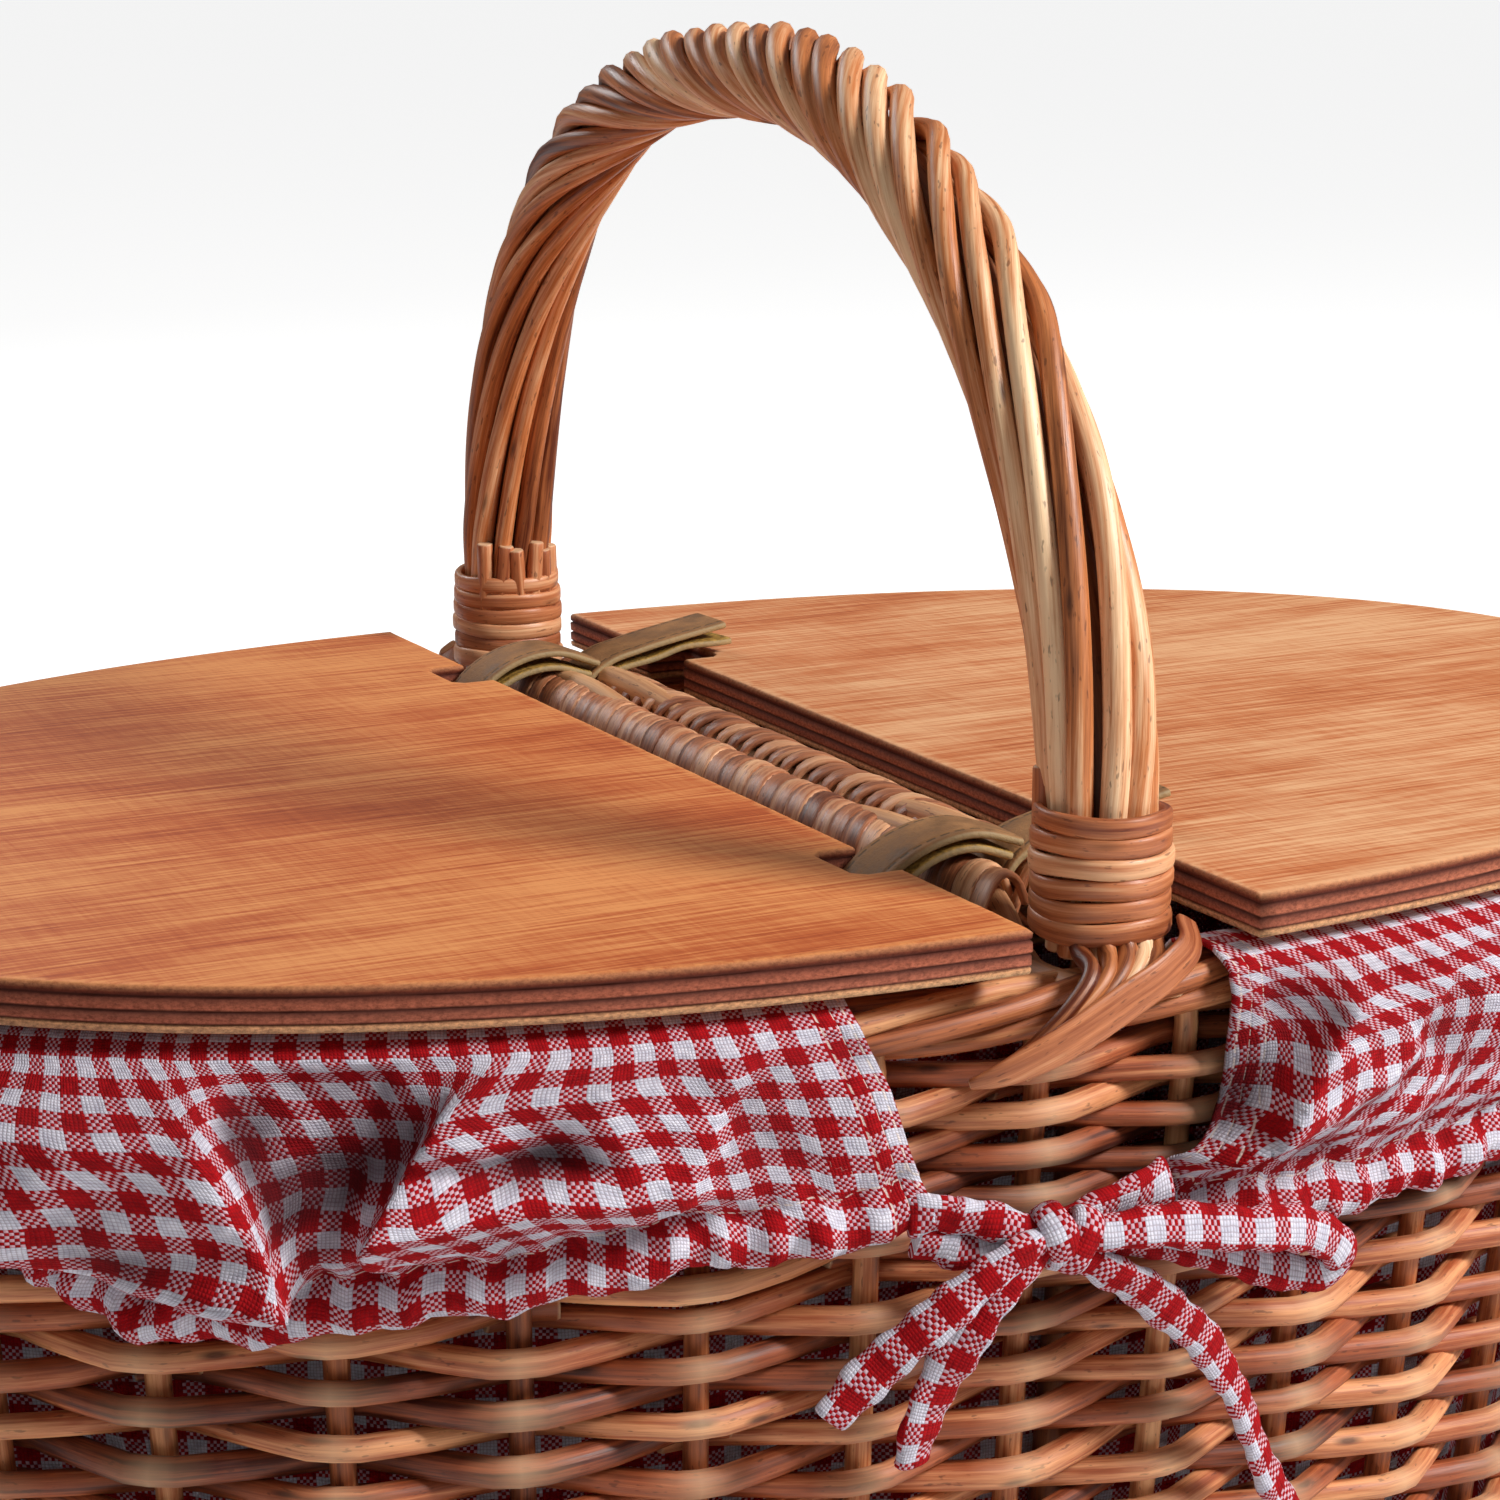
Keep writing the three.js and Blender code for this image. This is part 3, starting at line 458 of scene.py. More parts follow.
def gingham_look(name):
    """Red and white check, drawn yarn by yarn.

    In a plain weave a crossing of a red set and a white set shows dots of both. tone is the distance from
    a seam, end the painted shade in folds and on the cloth just under the lid.
    """
    look = Look(name)
    grain = look.read("grain")
    # The yarns wander a little from straight lines.
    drift = look.node("TexNoise", {"Vector": grain, "Scale": 0.14, "Detail": 2.0}).outputs["Color"]
    drift = look.node("VectorMath", {0: drift, 1: (0.5, 0.5, 0.5)}, operation="SUBTRACT")
    moved = look.node("VectorMath", {0: grain, 1: look.scaled(drift, (1.1, 1.1, 0))}, operation="ADD")
    across, along = look.split(moved)[:2]
    # Each axis counted in yarns, the yarn's own number, and whether its set is a red one.
    axes = [look.math("DIVIDE", v, CHECK_MM / YARNS) for v in (across, along)]
    cells = [look.math("FLOOR", a) for a in axes]
    sets = [look.math("FLOOR", look.math("DIVIDE", c, YARNS)) for c in cells]
    is_red = [look.math("FLOORED_MODULO", v, 2.0) for v in sets]
    # Over and under take turns, so "red" says whether the yarn on top is red.
    over = look.math("FLOORED_MODULO", look.total(cells[0], (cells[1], 1.0)), 2.0)
    red = look.total(look.times(over, is_red[0]), (look.less(1.0, over), is_red[1]))
    humps = [look.math("ABSOLUTE", look.math("SINE", look.times(a, math.pi))) for a in axes]
    hump = look.times(*humps)
    blotch = look.noise(grain, (0.5, 0.5, 0.5), 3.0)
    reds = look.ramp(blotch, (0.3, (134, 4, 10)), (0.7, (178, 12, 20)))
    whites = look.ramp(blotch, (0.3, (190, 188, 204)), (0.7, (230, 228, 240)))
    whites = look.mix(look.times(look.math("MAXIMUM", *is_red), 0.45), whites, (214, 96, 108))
    colour = look.mix(red, whites, reds)
    # Painted shade: each yarn darkens towards its edges, in the gaps between the yarns.
    colour = look.mix(look.range(hump, 0.0, 0.5, 0.4, 0.0), colour, (90, 14, 28))
    seam = look.math("ABSOLUTE", look.read("tone"))
    dash = look.math("GREATER_THAN", look.math("FRACT", look.total(0.0, (across, 0.3), (along, 0.3))), 0.35)
    colour = look.mix(look.times(look.range(seam, 0.12, 0.3, 0.8, 0.0), dash), colour, (232, 216, 206))
    # Painted shade: cloth deep in folds and just under the lid is darkened towards a dark red.
    colour = look.mix(look.times(look.read("end"), 0.82), colour, (48, 8, 14))
    groove = look.range(seam, 0.2, 1.1, 1.6, 0.0)
    height = look.total(hump, (look.noise(grain, 2.2, 3.0), 0.6), (groove, -1.0))
    soft = look.noise(grain, 0.22, 3.0)
    normal = look.bump(height, 0.55, 0.22, look.bump(soft, 0.35, 1.2))
    return look.finish(colour, 0.92, normal, Specular_IOR_Level=0.15)


STITCH_LINE = 5.5


def leather_look(name):
    """Tan split leather: smooth top, fuzzy underside, pale cut edges, a row of stitches near each edge."""
    look = Look(name)
    grain, under = look.read("grain"), look.read("tone")
    pebble = look.node("TexVoronoi", {"Vector": grain, "Scale": 1.3}, feature="SMOOTH_F1").outputs["Distance"]
    cloud = look.noise(grain, 0.12, 4.0, 0.6)
    colour = look.ramp(cloud, (0.32, (116, 80, 45)), (0.68, (164, 116, 70)))
    suede = look.ramp(look.noise(grain, 0.9, 4.0, 0.7), (0.35, (108, 78, 28)), (0.65, (188, 146, 62)))
    colour = look.mix(under, colour, suede)
    colour = look.mix(look.times(look.read("end"), 0.8), colour, (164, 142, 104))
    across, along = look.split(grain)[1:]
    line = look.away(look.math("ABSOLUTE", across), STITCH_LINE)
    dash = look.math("GREATER_THAN", look.math("FRACT", look.times(along, 0.32)), 0.35)
    stitch = look.times(look.times(look.range(line, 0.18, 0.4, 1.0, 0.0), dash), look.less(1.0, under))
    colour = look.mix(look.times(stitch, 0.8), colour, (78, 58, 30))
    pits = look.range(line, 0.2, 0.9, 1.2, 0.0)
    height = look.total(look.noise(grain, 2.0, 3.0), (pebble, 0.5), (pits, -1.0))
    return look.finish(colour, look.range(cloud, 0.3, 0.7, 0.62, 0.82), look.bump(height, 0.5, 0.3))


def brass_look(name):
    look = Look(name)
    cloud = look.noise(look.place(), 0.8, 4.0, 0.6)
    colour = look.ramp(cloud, (0.3, (120, 84, 36)), (0.7, (196, 152, 78)))
    rough = look.range(cloud, 0.3, 0.7, 0.24, 0.45)
    return look.finish(colour, rough, look.bump(cloud, 0.3, 0.1), Metallic=1.0)


CUT_PALE = (226, 190, 150)
weave_willow = willow_look("weave_willow", (74, 26, 12), (168, 86, 48), (234, 164, 112))
rim_willow = willow_look("rim_willow", (86, 34, 15), (180, 102, 58), (234, 174, 122))
handle_willow = willow_look(
    "handle_willow", (92, 36, 13), (200, 122, 70), (252, 212, 168), gloss=0.4, spread=0.34,
)
base_willow = willow_look("base_willow", (112, 62, 34), (186, 126, 82), (222, 172, 124), 0.6, 0.6)
skein_willow = willow_look("skein_willow", (124, 54, 26), (194, 118, 74), (238, 182, 136), 0.5, 0.38)
bar_willow = willow_look("bar_willow", (86, 38, 20), (176, 110, 74), (234, 180, 136), 0.3, 0.42, 0.18)
core_willow = willow_look("core_willow", (96, 50, 26), (146, 88, 52), (186, 126, 84))
ply_looks = {
    "left": plywood_look("ply_left", (146, 56, 20), (186, 94, 45), (222, 146, 86), (206, 116, 86)),
    "right": plywood_look("ply_right", (162, 72, 32), (200, 120, 72), (230, 176, 130), (212, 124, 92)),
}
gingham = gingham_look("gingham")
leather = leather_look("leather")
brass = brass_look("brass")

# ---------------------------------------------------------------- wall

STAKE_R = 2.5
# How far a row passes in front of and behind the middle of the wall.
WEAVE_SWING = 5.0
SWING_SPREAD = (0.95, 1.03)
ROW_UNEVEN = 0.42
# A row bends little near a stake: this share of the pitch away, it still has this share of its swing.
KEY_SHIFT, KEY_SHARE = 0.13, 0.94
GAP_SAMPLES = np.array([0.0, 0.13, 0.32, 0.5, 0.68, 0.87])
# A rod's ends run this share of the pitch past their stakes, sink in, and pass over or under the next rod.
END_PAST, END_SINK, END_RISE = 0.2, 1.1, 1.5
# A rod is paler where it is bent over a stake.
KINK, KINK_REACH = 0.55, 0.2


def row_wave(z, s):
    """Slow rise and fall of a row of weaving, much the same in neighbouring rows."""
    a = TURN * s / PERIMETER
    return 0.8 * np.sin(3 * a + z / 34) + 0.5 * np.sin(7 * a - z / 21 + 1) + 0.3 * np.sin(13 * a + z / 9)


def weave_row(piece, z, front, rods, butt, tip, first):
    """One row round the wall. front says for each stake whether the row passes in front of it."""
    swing = np.where(front, 1.0, -1.0) * WEAVE_SWING * rng.uniform(*SWING_SPREAD, STAKES)
    lift = rng.normal(0, ROW_UNEVEN, STAKES)
    stakes = np.arange(-1, 2 * STAKES + 2)
    keys = (stakes[:, None] + np.array([-KEY_SHIFT, 0, KEY_SHIFT])).ravel()
    values = (swing[stakes % STAKES][:, None] * np.array([KEY_SHARE, 1, KEY_SHARE])).ravel()
    hidden = [k for k in range(first, first + STAKES) if not front[k % STAKES]]
    starts = [hidden[int(i * len(hidden) / rods)] for i in range(rods)]
    starts.append(starts[0] + STAKES)
    for a, b in zip(starts[:-1], starts[1:]):
        u = np.concatenate([(np.arange(a, b)[:, None] + GAP_SAMPLES).ravel(), [b, b + END_PAST]])
        u[0] -= END_PAST
        s = (u + 0.5) * PITCH
        share = (u - a) / (b - a)
        off = np.interp(u, keys, values) - END_SINK * smooth(share, 0.96, 1.0)
        rise = END_RISE * (smooth(share, 0.05, 0) - smooth(share, 0.95, 1))
        height = z + row_wave(z, s) + np.interp(u, stakes, lift[stakes % STAKES]) + rise
        taper = butt + (tip - butt) * share
        kink = KINK * np.clip(1 - np.abs(u - np.round(u)) / KINK_REACH, 0, 1) * (off > 0.8 * WEAVE_SWING)
        piece.rod(wall(s, off, height), taper, taper * 1.02, sides=9, end=kink[:, None])


def weave_course(name, node, rows, period, rods, butt, tip):
    """Rows of weaving in a CAD node's height. period is how many stakes the pattern takes."""
    lo, hi = box_mm(node)
    gap = (hi[2] - lo[2]) / rows
    piece = Piece()
    for row in range(rows):
        stake = np.arange(STAKES) + row
        front = stake % 2 == 0 if period == 2 else stake % period != 0
        weave_row(piece, lo[2] + (row + 0.5) * gap, front, rods, butt, tip, 5 * row % STAKES)
    piece.build(name, weave_willow, "basket", [node])


weave_course("upset_rods", "upset_wale", 4, 3, 3, 2.8, 2.3)
weave_course("side_rods", "side_weave", 23, 2, 3, 3.0, 2.3)
weave_course("top_rods", "top_wale", 9, 2, 3, 2.7, 2.35)

# A stake's way up the wall and over its neighbours: stakes passed, off, z.
BORDER_PATH = [
    (0, 0, 9), (0, 0, 60), (0, 0, 120), (0, 0, 170), (0, 0, 186), (0.02, -0.4, 193), (0.3, -2.4, 198.4),
    (1, -4, 200.6), (1.6, 0.8, 201.2), (2.2, 4.4, 199.8), (3, 4.8, 196.4), (3.6, 1.2, 193.6),
    (4.05, -3.6, 192.6),
]
FOOT_PATH = [
    (0, 0, 12), (0.1, -1.2, 8.6), (0.5, -4, 5.6), (1, -4.6, 4.4), (1.6, -0.6, 3.4), (2.2, 3.6, 2.9),
    (3, 4.2, 2.9), (3.6, 1, 4.2), (4.05, -3.6, 6.4),
]
FOOT_ROD_R = 2.7
BORDER_UNEVEN = 0.25


def turned_down_rods(name, node, path, radius):
    piece = Piece()
    for stake in range(STAKES):
        control = np.array(path, float)
        control[1:, 1:] += rng.normal(0, BORDER_UNEVEN, (len(path) - 1, 2)) * [1, 0.5]
        control[:, 0] = (stake + 0.5 + control[:, 0]) * PITCH
        s, off, z = spline(control, 3.0).T
        size = radius * np.linspace(1.06, 0.86, len(s))
        piece.rod(wall(s, off, z), size, up=outward(s, z), sides=8)
    piece.build(name, rim_willow, "basket", [node])


turned_down_rods("rim_border_and_stakes", "stakes_and_rim_border", BORDER_PATH, STAKE_R)
turned_down_rods("foot_border_rods", "foot_border", FOOT_PATH, FOOT_ROD_R)

# ---------------------------------------------------------------- base

BASE_ROD_R = 2.5
RING_POINTS = 150
STICKS = range(1, 6)
SPINE = [(-84, 0, 10.6), (0, 0, 10.9), (84, 0, 10.6)]
SPINE_R = 2.2
base_lo, base_hi = box_mm("base_weave")
base = Piece()
stick_x = [np.mean([b[0] for b in box_mm(f"base_stick_{i}")]) for i in STICKS]
for ring in range(int((base_hi[1] - BASE_ROD_R) / (2 * BASE_ROD_R))):
    off = base_hi[1] - BASE_HALF_Y - BASE_ROD_R - 2 * BASE_ROD_R * ring
    s = np.linspace(0, PERIMETER, RING_POINTS, endpoint=False)
    track = wall(s, off, (base_lo[2] + base_hi[2]) / 2)
    crossing = np.cos(np.pi * (track[:, 0] - stick_x[0]) / (stick_x[1] - stick_x[0]))
    track[:, 2] += 0.5 * crossing * (-1) ** ring
    base.rod(track, BASE_ROD_R * rng.uniform(0.93, 1.03), sides=7, closed=True)
base.rod(spline(SPINE, 6), SPINE_R)
base.build("base_rods", base_willow, "basket", ["base_weave"])
for i in STICKS:
    lo, hi = box_mm(f"base_stick_{i}")
    mid = (lo + hi) / 2
    stick = Piece()
    path = spline([(mid[0], lo[1], mid[2]), (mid[0] + 0.4, 0, mid[2]), (mid[0], hi[1], mid[2])], 5)
    stick.rod(path, (hi[2] - lo[2]) / 2 * np.linspace(1.0, 0.9, len(path)), sides=10)
    stick.build(f"base_stick_rod_{i}", base_willow, "basket", [f"base_stick_{i}"])

# ---------------------------------------------------------------- handle

HANDLE_FOOT_Y = 134.0
SPRING_Z = 216.0
ROD_FOOT_Z = 205.5
CORE_R = 5.4
RISE = box_mm("handle_core")[1][2] - CORE_R - SPRING_Z
POWER_NEAR, POWER_FAR = 1.95, 2.4
HANDLE_RODS = 10
HANDLE_STEPS = 230
# Turn of the rods in radians for each mm of the handle.
TWIST_FOOT, TWIST_TOP = 0.012, 0.07
# Sizes at the feet, with what the top of the arch adds to them.
ROD_R, ROD_R_TOP = 2.82, -0.36
SPREAD_R, SPREAD_R_TOP, SPREAD_OUTER_TOP = 8.9, -1.5, 0.6
# The rods stand out in an elbow on one side, at this angle from the outer side of the near leg.
ELBOW_AT, ELBOW_WIDTH, ELBOW_OUT = 0.5, 0.42, 1.3
# The bindings squeeze the rods together. Shares of the handle's length from each end.
GRIP_FROM, GRIP_FULL = 0.085, 0.045
GRIP_SPREAD, GRIP_SIZE = 0.85, 0.2

angle = np.linspace(0, np.pi, 721)
power = 2 / np.where(angle < np.pi / 2, POWER_NEAR, POWER_FAR)
arch_y = -HANDLE_FOOT_Y * np.sign(np.cos(angle)) * np.abs(np.cos(angle)) ** power
arch_z = SPRING_Z + RISE * np.abs(np.sin(angle)) ** power
feet = [[[0, y, ROD_FOOT_Z]] for y in (-HANDLE_FOOT_Y, HANDLE_FOOT_Y)]
arch = np.concatenate([feet[0], np.stack([0 * angle, arch_y, arch_z], -1), feet[1]])
run = lengths(arch)
at = np.linspace(0, 1, HANDLE_STEPS)
centre = np.stack([np.interp(at * run[-1], run, arch[:, k]) for k in range(3)], -1)
along = unit(np.gradient(centre, axis=0))
outer = unit(np.cross(np.broadcast_to(ACROSS, along.shape), along))
# The twist per mm goes from foot to top as the fourth power of a sine. This is its sum from the near foot.
fourth = 3 * at / 8 - np.sin(TURN * at) / (4 * np.pi) + np.sin(2 * TURN * at) / (32 * np.pi)
twist = run[-1] * (TWIST_FOOT * at + (TWIST_TOP - TWIST_FOOT) * fourth)
topness = np.sin(np.pi * at)
grip = smooth(np.minimum(at, 1 - at), GRIP_FROM, GRIP_FULL)
for i in range(HANDLE_RODS):
    wobble = 0.06 * np.sin(at * rng.uniform(8, 15) + rng.uniform(0, 6)) * rng.uniform(0.4, 1)
    psi = TURN * i / HANDLE_RODS + twist + wobble + rng.normal(0, 0.02)
    phi = psi + 0.16 * np.sin(psi) * topness
    size = (ROD_R + ROD_R_TOP * topness) * rng.uniform(0.9, 1.07) * (1 + 0.04 * np.sin(at * 17 + i))
    size = size - GRIP_SIZE * grip
    reach = SPREAD_R + (SPREAD_R_TOP + SPREAD_OUTER_TOP * np.cos(phi)) * topness
    reach = reach + 0.3 * np.sin(at * 9 + 2.4 * i)
    elbow = np.exp(-((np.mod(phi + np.pi, TURN) - np.pi - ELBOW_AT) / ELBOW_WIDTH) ** 2)
    elbow = elbow * smooth(at, 0.04, 0.12) * smooth(at, 0.62, 0.45)
    reach = reach + ELBOW_OUT * elbow - GRIP_SPREAD * grip
    away = np.sin(phi)[:, None] * ACROSS + np.cos(phi)[:, None] * outer
    piece = Piece()
    squeeze = 0.9 + 0.1 * np.cos(phi)
    # Painted light: besides each rod's own random tone, the near leg is made paler and the far leg darker, as
    # the light fell on them.
    tone = rng.uniform(0, 1) + 0.6 * (0.42 - at)
    piece.rod(centre + away * reach[:, None], size, size * squeeze, up=away, sides=10, tone=tone[:, None])
    name = f"handle_wrap_rod_{i + 1}"
    piece.build(f"handle_rod_{i + 1}", handle_willow, "basket", [name])

CORE_FOOT_Z, CORE_WALL_Z = 46.0, 196.0
CORE_INSET = 7.0
leg_z = np.linspace(CORE_FOOT_Z, CORE_WALL_Z, 20)
core = Piece()
core_path = [wall(0, -CORE_INSET, leg_z), centre[4:-4:4], wall(HALF, -CORE_INSET, leg_z[::-1])]
core.rod(np.concatenate(core_path), CORE_R - 0.4, up=ACROSS, sides=12)
core.build("handle_bow", core_willow, "basket", ["handle_core"])


def both_feet(name, make, material, node):
    """The near foot's piece, and the same shape turned half round at the far foot."""
    for side, half_turn in (("near", False), ("far", True)):
        piece = Piece()
        make(piece)
        piece.build(f"{name}_{side}", material, "basket", [f"{node}_{side}"], half_turn)


BINDING_TURNS = 6
BINDING_R = 11.9
# The lowest turn, over the ends of the others, is wider and stands out.
LOWEST_OUT, LOWEST_WIDE = 0.7, 1.12
SKEIN_HALF_THICK = 1.0
# How far the binding's bottom and top stand above those of its CAD solid.
BINDING_SHIFT = (2.2, 1.0)
STUBS = 6
STUB_R, STUB_SPREAD_R, STUB_SINK, STUB_TALL = 1.95, 10.9, 8.0, 14.5


def binding(piece):
    lo, hi = box_mm("handle_binding_near")
    lo, hi = lo + BINDING_SHIFT[0], hi + BINDING_SHIFT[1]
    gap = (hi[2] - lo[2]) / BINDING_TURNS
    theta = np.linspace(0, TURN, 56, endpoint=False)
    away = np.stack([np.cos(theta), np.sin(theta), 0 * theta], -1)
    for i in range(BINDING_TURNS):
        lowest = i == 0
        radius = BINDING_R + 0.25 * np.sin(np.pi * (i + 0.5) / BINDING_TURNS) + LOWEST_OUT * lowest
        radius = radius + rng.normal(0, 0.12)
        z = lo[2] + gap * (i + 0.5) + 0.45 * np.sin(theta + 1 + 0.6 * i) + 0.2 * np.sin(3 * theta + i)
        bulge = 1 + 0.012 * np.sin(2 * theta + i) + 0.01 * np.sin(5 * theta + 2 * i)
        path = away * (radius * bulge)[:, None] + np.stack([0 * theta, 0 * theta - HANDLE_FOOT_Y, z], -1)
        wide = 0.51 * gap * (LOWEST_WIDE if lowest else 1.0) * (1 + 0.04 * np.sin(4 * theta + i))
        piece.rod(path, SKEIN_HALF_THICK, wide, up=away, sides=12, square=3.2, closed=True)
    for k in range(STUBS):
        a = np.pi / 2 + np.radians(-52 + 21 * k + rng.normal(0, 2))
        foot = [STUB_SPREAD_R * np.cos(a), STUB_SPREAD_R * np.sin(a) - HANDLE_FOOT_Y, hi[2] - STUB_SINK]
        lean = np.array([rng.normal(0, 0.6), rng.normal(0, 0.3) + 0.6, STUB_TALL + rng.normal(0, 1)])
        piece.rod(spline([foot, foot + lean * 0.5, foot + lean], 2), STUB_R, up=ACROSS, sides=8)


# Where each rod of the fan comes out, and how far from the handle's middle.
FAN_X = (-8.4, -4.6, -0.9, 2.8, 6.4)
FAN_START_R = 10.2
FAN_R = (1.9, 1.4)


def foot_rods(piece):
    """Rods that come out under the binding, swing to the left and go into the wall."""
    for k, x in enumerate(FAN_X):
        start = -HANDLE_FOOT_Y - math.sqrt(FAN_START_R**2 - x * x)
        path = [
            (x, start, 211), (x - 0.8, start - 1.6, 208.2), (x * 0.9 - 4.2, -149.8, 205.6),
            (x * 0.75 - 11, -152.4, 201.2), (x * 0.5 - 20, -152.4 + 0.2 * k, 195.6),
            (x * 0.3 - 28, -150.6, 190.4 - 0.3 * k),
        ]
        track = spline(path, 1.6)
        piece.rod(track, np.linspace(*FAN_R, len(track)), up=(0, -1, 0), sides=9)


# The flat skein over the fan: x, y, z, half width.
LASHING = [
    (11.4, -145.2, 211.4, 2.4), (9.6, -149.4, 208.8, 3.1), (2.0, -153.8, 205.4, 3.4),
    (-8, -155.4, 201.4, 3.6), (-18, -155.8, 197, 3.5), (-27, -154.4, 193, 3.1), (-33.5, -151.8, 190, 1.9),
    (-36.5, -149.6, 188.8, 0.9),
]
LASHING_FACING = np.array([0.12, -1.0, 0.18])
LASHING_HALF_THICK = 0.75


def lashing(piece):
    track = spline(LASHING, 1.5)
    piece.rod(track[:, :3], LASHING_HALF_THICK, track[:, 3], up=unit(LASHING_FACING), sides=14, square=3.2)


both_feet("handle_binding_skein", binding, skein_willow, "handle_binding")
both_feet("handle_foot_fan", foot_rods, handle_willow, "handle_foot_rods")
both_feet("handle_foot_lashing", lashing, skein_willow, "handle_lashing")

# ---------------------------------------------------------------- crossbar

RAIL_R = 3.4
RAIL_STRAIGHT_Y, RAIL_BENT_Y = 112.0, 123.0


def rail(side, sign):
    """One rail, dipping and spreading into the rim at its ends.

    Returns the end's distance from the middle and the depth of the dip.
    """
    lo, hi = box_mm(f"crossbar_rail_{side}")
    inner_x, outer_x = sorted((abs(lo[0]), abs(hi[0])))
    mid_x, mid_z = inner_x + RAIL_R, hi[2] - RAIL_R
    end_x, end_z = outer_x - RAIL_R, lo[2] + RAIL_R
    half = [(end_x, hi[1], end_z), (end_x, RAIL_BENT_Y, end_z), (mid_x, RAIL_STRAIGHT_Y, mid_z)]
    path = [(x, -y, z) for x, y, z in half] + [(mid_x, 0, mid_z)] + half[::-1]
    piece = Piece()
    piece.rod(spline(path, 4) * [sign, 1, 1], RAIL_R - 0.2, sides=10)
    piece.build(f"crossbar_rod_{side}", base_willow, "basket", [f"crossbar_rail_{side}"])
    return end_x, mid_z - end_z


for side, sign in SIDES.items():
    end_x, dip_deep = rail(side, sign)

WRAP_R = 7.15
WRAP_PITCH = 6.1
WRAP_RAISED = 1.1
# How far the skein goes on past its CAD solid, and what it leaves free there.
WRAP_REACH, WRAP_FREE = 10.0, 2.0
WRAP_PARTS = 3
# How far a turn runs ahead on its way round a rail.
SLANT = 7.5
MIDDLE_X = 2.0
bar_lo, bar_hi = box_mm("crossbar_wrap")
rail_x = bar_hi[0] - (bar_hi[2] - bar_lo[2]) / 2
rail_z = (bar_lo[2] + bar_hi[2]) / 2 + WRAP_RAISED
# One turn of the skein is a figure of eight: round the left rail, then round the right one.
arc_a = np.radians(np.linspace(32, 328, 21))
left_loop = np.stack([-rail_x + WRAP_R * np.cos(arc_a), rail_z + WRAP_R * np.sin(arc_a)], -1)
loop = np.concatenate([[[0, rail_z]], left_loop, [[0, rail_z]], left_loop * [-1, 1]])
step = np.arange(len(loop)) / len(loop)
outness = np.clip((np.abs(loop[:, 0]) - MIDDLE_X) / (rail_x + WRAP_R - MIDDLE_X), 0, 1)
spread = (end_x - rail_x) * np.clip(loop[:, 0] / rail_x, -1, 1)
turns = int((bar_hi[1] - bar_lo[1] + 2 * WRAP_REACH - 2 * SLANT) / WRAP_PITCH)
first_y = bar_lo[1] - WRAP_REACH + SLANT + WRAP_FREE
wrap = Piece()
for part in range(WRAP_PARTS):
    path, wide = [], []
    for n in range(part * turns // WRAP_PARTS, (part + 1) * turns // WRAP_PARTS):
        y = first_y + WRAP_PITCH * (n + step) - SLANT * outness**1.3
        dip = np.clip((np.abs(y) - RAIL_STRAIGHT_Y) / (RAIL_BENT_Y - RAIL_STRAIGHT_Y), 0, 1)
        z = loop[:, 1] + 0.25 * np.sin(1.7 * n) - dip_deep * dip
        path.append(np.stack([loop[:, 0] + spread * dip, y, z], -1))
        wide.append(1.2 + 2.3 * outness**0.45 + rng.normal(0, 0.12))
    thick = np.tile(0.55 + 0.25 * (1 - outness), len(wide))
    path, wide = np.concatenate(path), np.concatenate(wide)
    tangent = unit(np.gradient(path, axis=0))
    up = np.stack([tangent[:, 2], 0 * wide, -tangent[:, 0]], -1)
    tone = 0.5 + 0.5 * np.sin(np.arange(len(wide)) / len(loop) * 2.1)
    wrap.rod(path, thick, wide, up=up, sides=10, square=2.8, tone=tone[:, None])
wrap.build("crossbar_skein", bar_willow, "basket", ["crossbar_wrap"])

# ---------------------------------------------------------------- lids

NOTCH_Y, NOTCH_HALF, NOTCH_DEPTH, NOTCH_ROUND = 95.0, 9.0, 9.6, 2.0
EDGE_CHIP = 0.1
OUTLINE_STEP = 3.0
# From the underside to the top: inset from the outline, height, share of ply edge, share of wear.
PLY_PROFILE = [
    (2.7, 0, 0, 0), (0.9, 0, 0.2, 0.3), (0.3, 0.25, 1, 0.5), (0.12, 0.8, 1, 0), (0.1, 1.4, 1, 0),
    (0.42, 1.65, 1, 0), (0.1, 1.95, 1, 0), (0, 3.7, 1, 0), (0.36, 4.05, 1, 0), (0.02, 4.4, 1, 0),
    (0, 6.2, 1, 0), (0.4, 6.55, 1, 0), (0.03, 6.9, 1, 0), (0.05, 7.9, 1, 0.2), (0.3, 8.38, 0.6, 1),
    (0.85, 8.6, 0, 1), (1.7, 8.6, 0, 0.6), (2.7, 8.6, 0, 0),
]


def resample(points, step):
    closed = np.concatenate([points, points[:1]])
    out = []
    for a, b in zip(closed[:-1], closed[1:]):
        n = max(int(np.linalg.norm(b - a) / step), 1)
        out.append(a + (b - a) * np.linspace(0, 1, n, endpoint=False)[:, None])
    return np.concatenate(out)


def lid_outline(inner, half_x, half_y):
    """Half an oval with two rounded notches in its straight side, for the lid on the +X side."""
    deep = inner + NOTCH_DEPTH
    notch = [
        (inner, -NOTCH_HALF), (deep - NOTCH_ROUND, -NOTCH_HALF), (deep, NOTCH_ROUND - NOTCH_HALF),
        (deep, NOTCH_HALF - NOTCH_ROUND), (deep - NOTCH_ROUND, NOTCH_HALF), (inner, NOTCH_HALF),
    ]
    corners = [(x, middle + y) for middle in (-NOTCH_Y, NOTCH_Y) for x, y in notch]
    start = np.arccos((inner / half_x) ** (OVAL_POWER / 2)) / TURN
    curve = np.stack(oval(np.linspace(start, -start, 150), half_x, half_y), -1)
    return resample(np.concatenate([corners, curve]), OUTLINE_STEP)


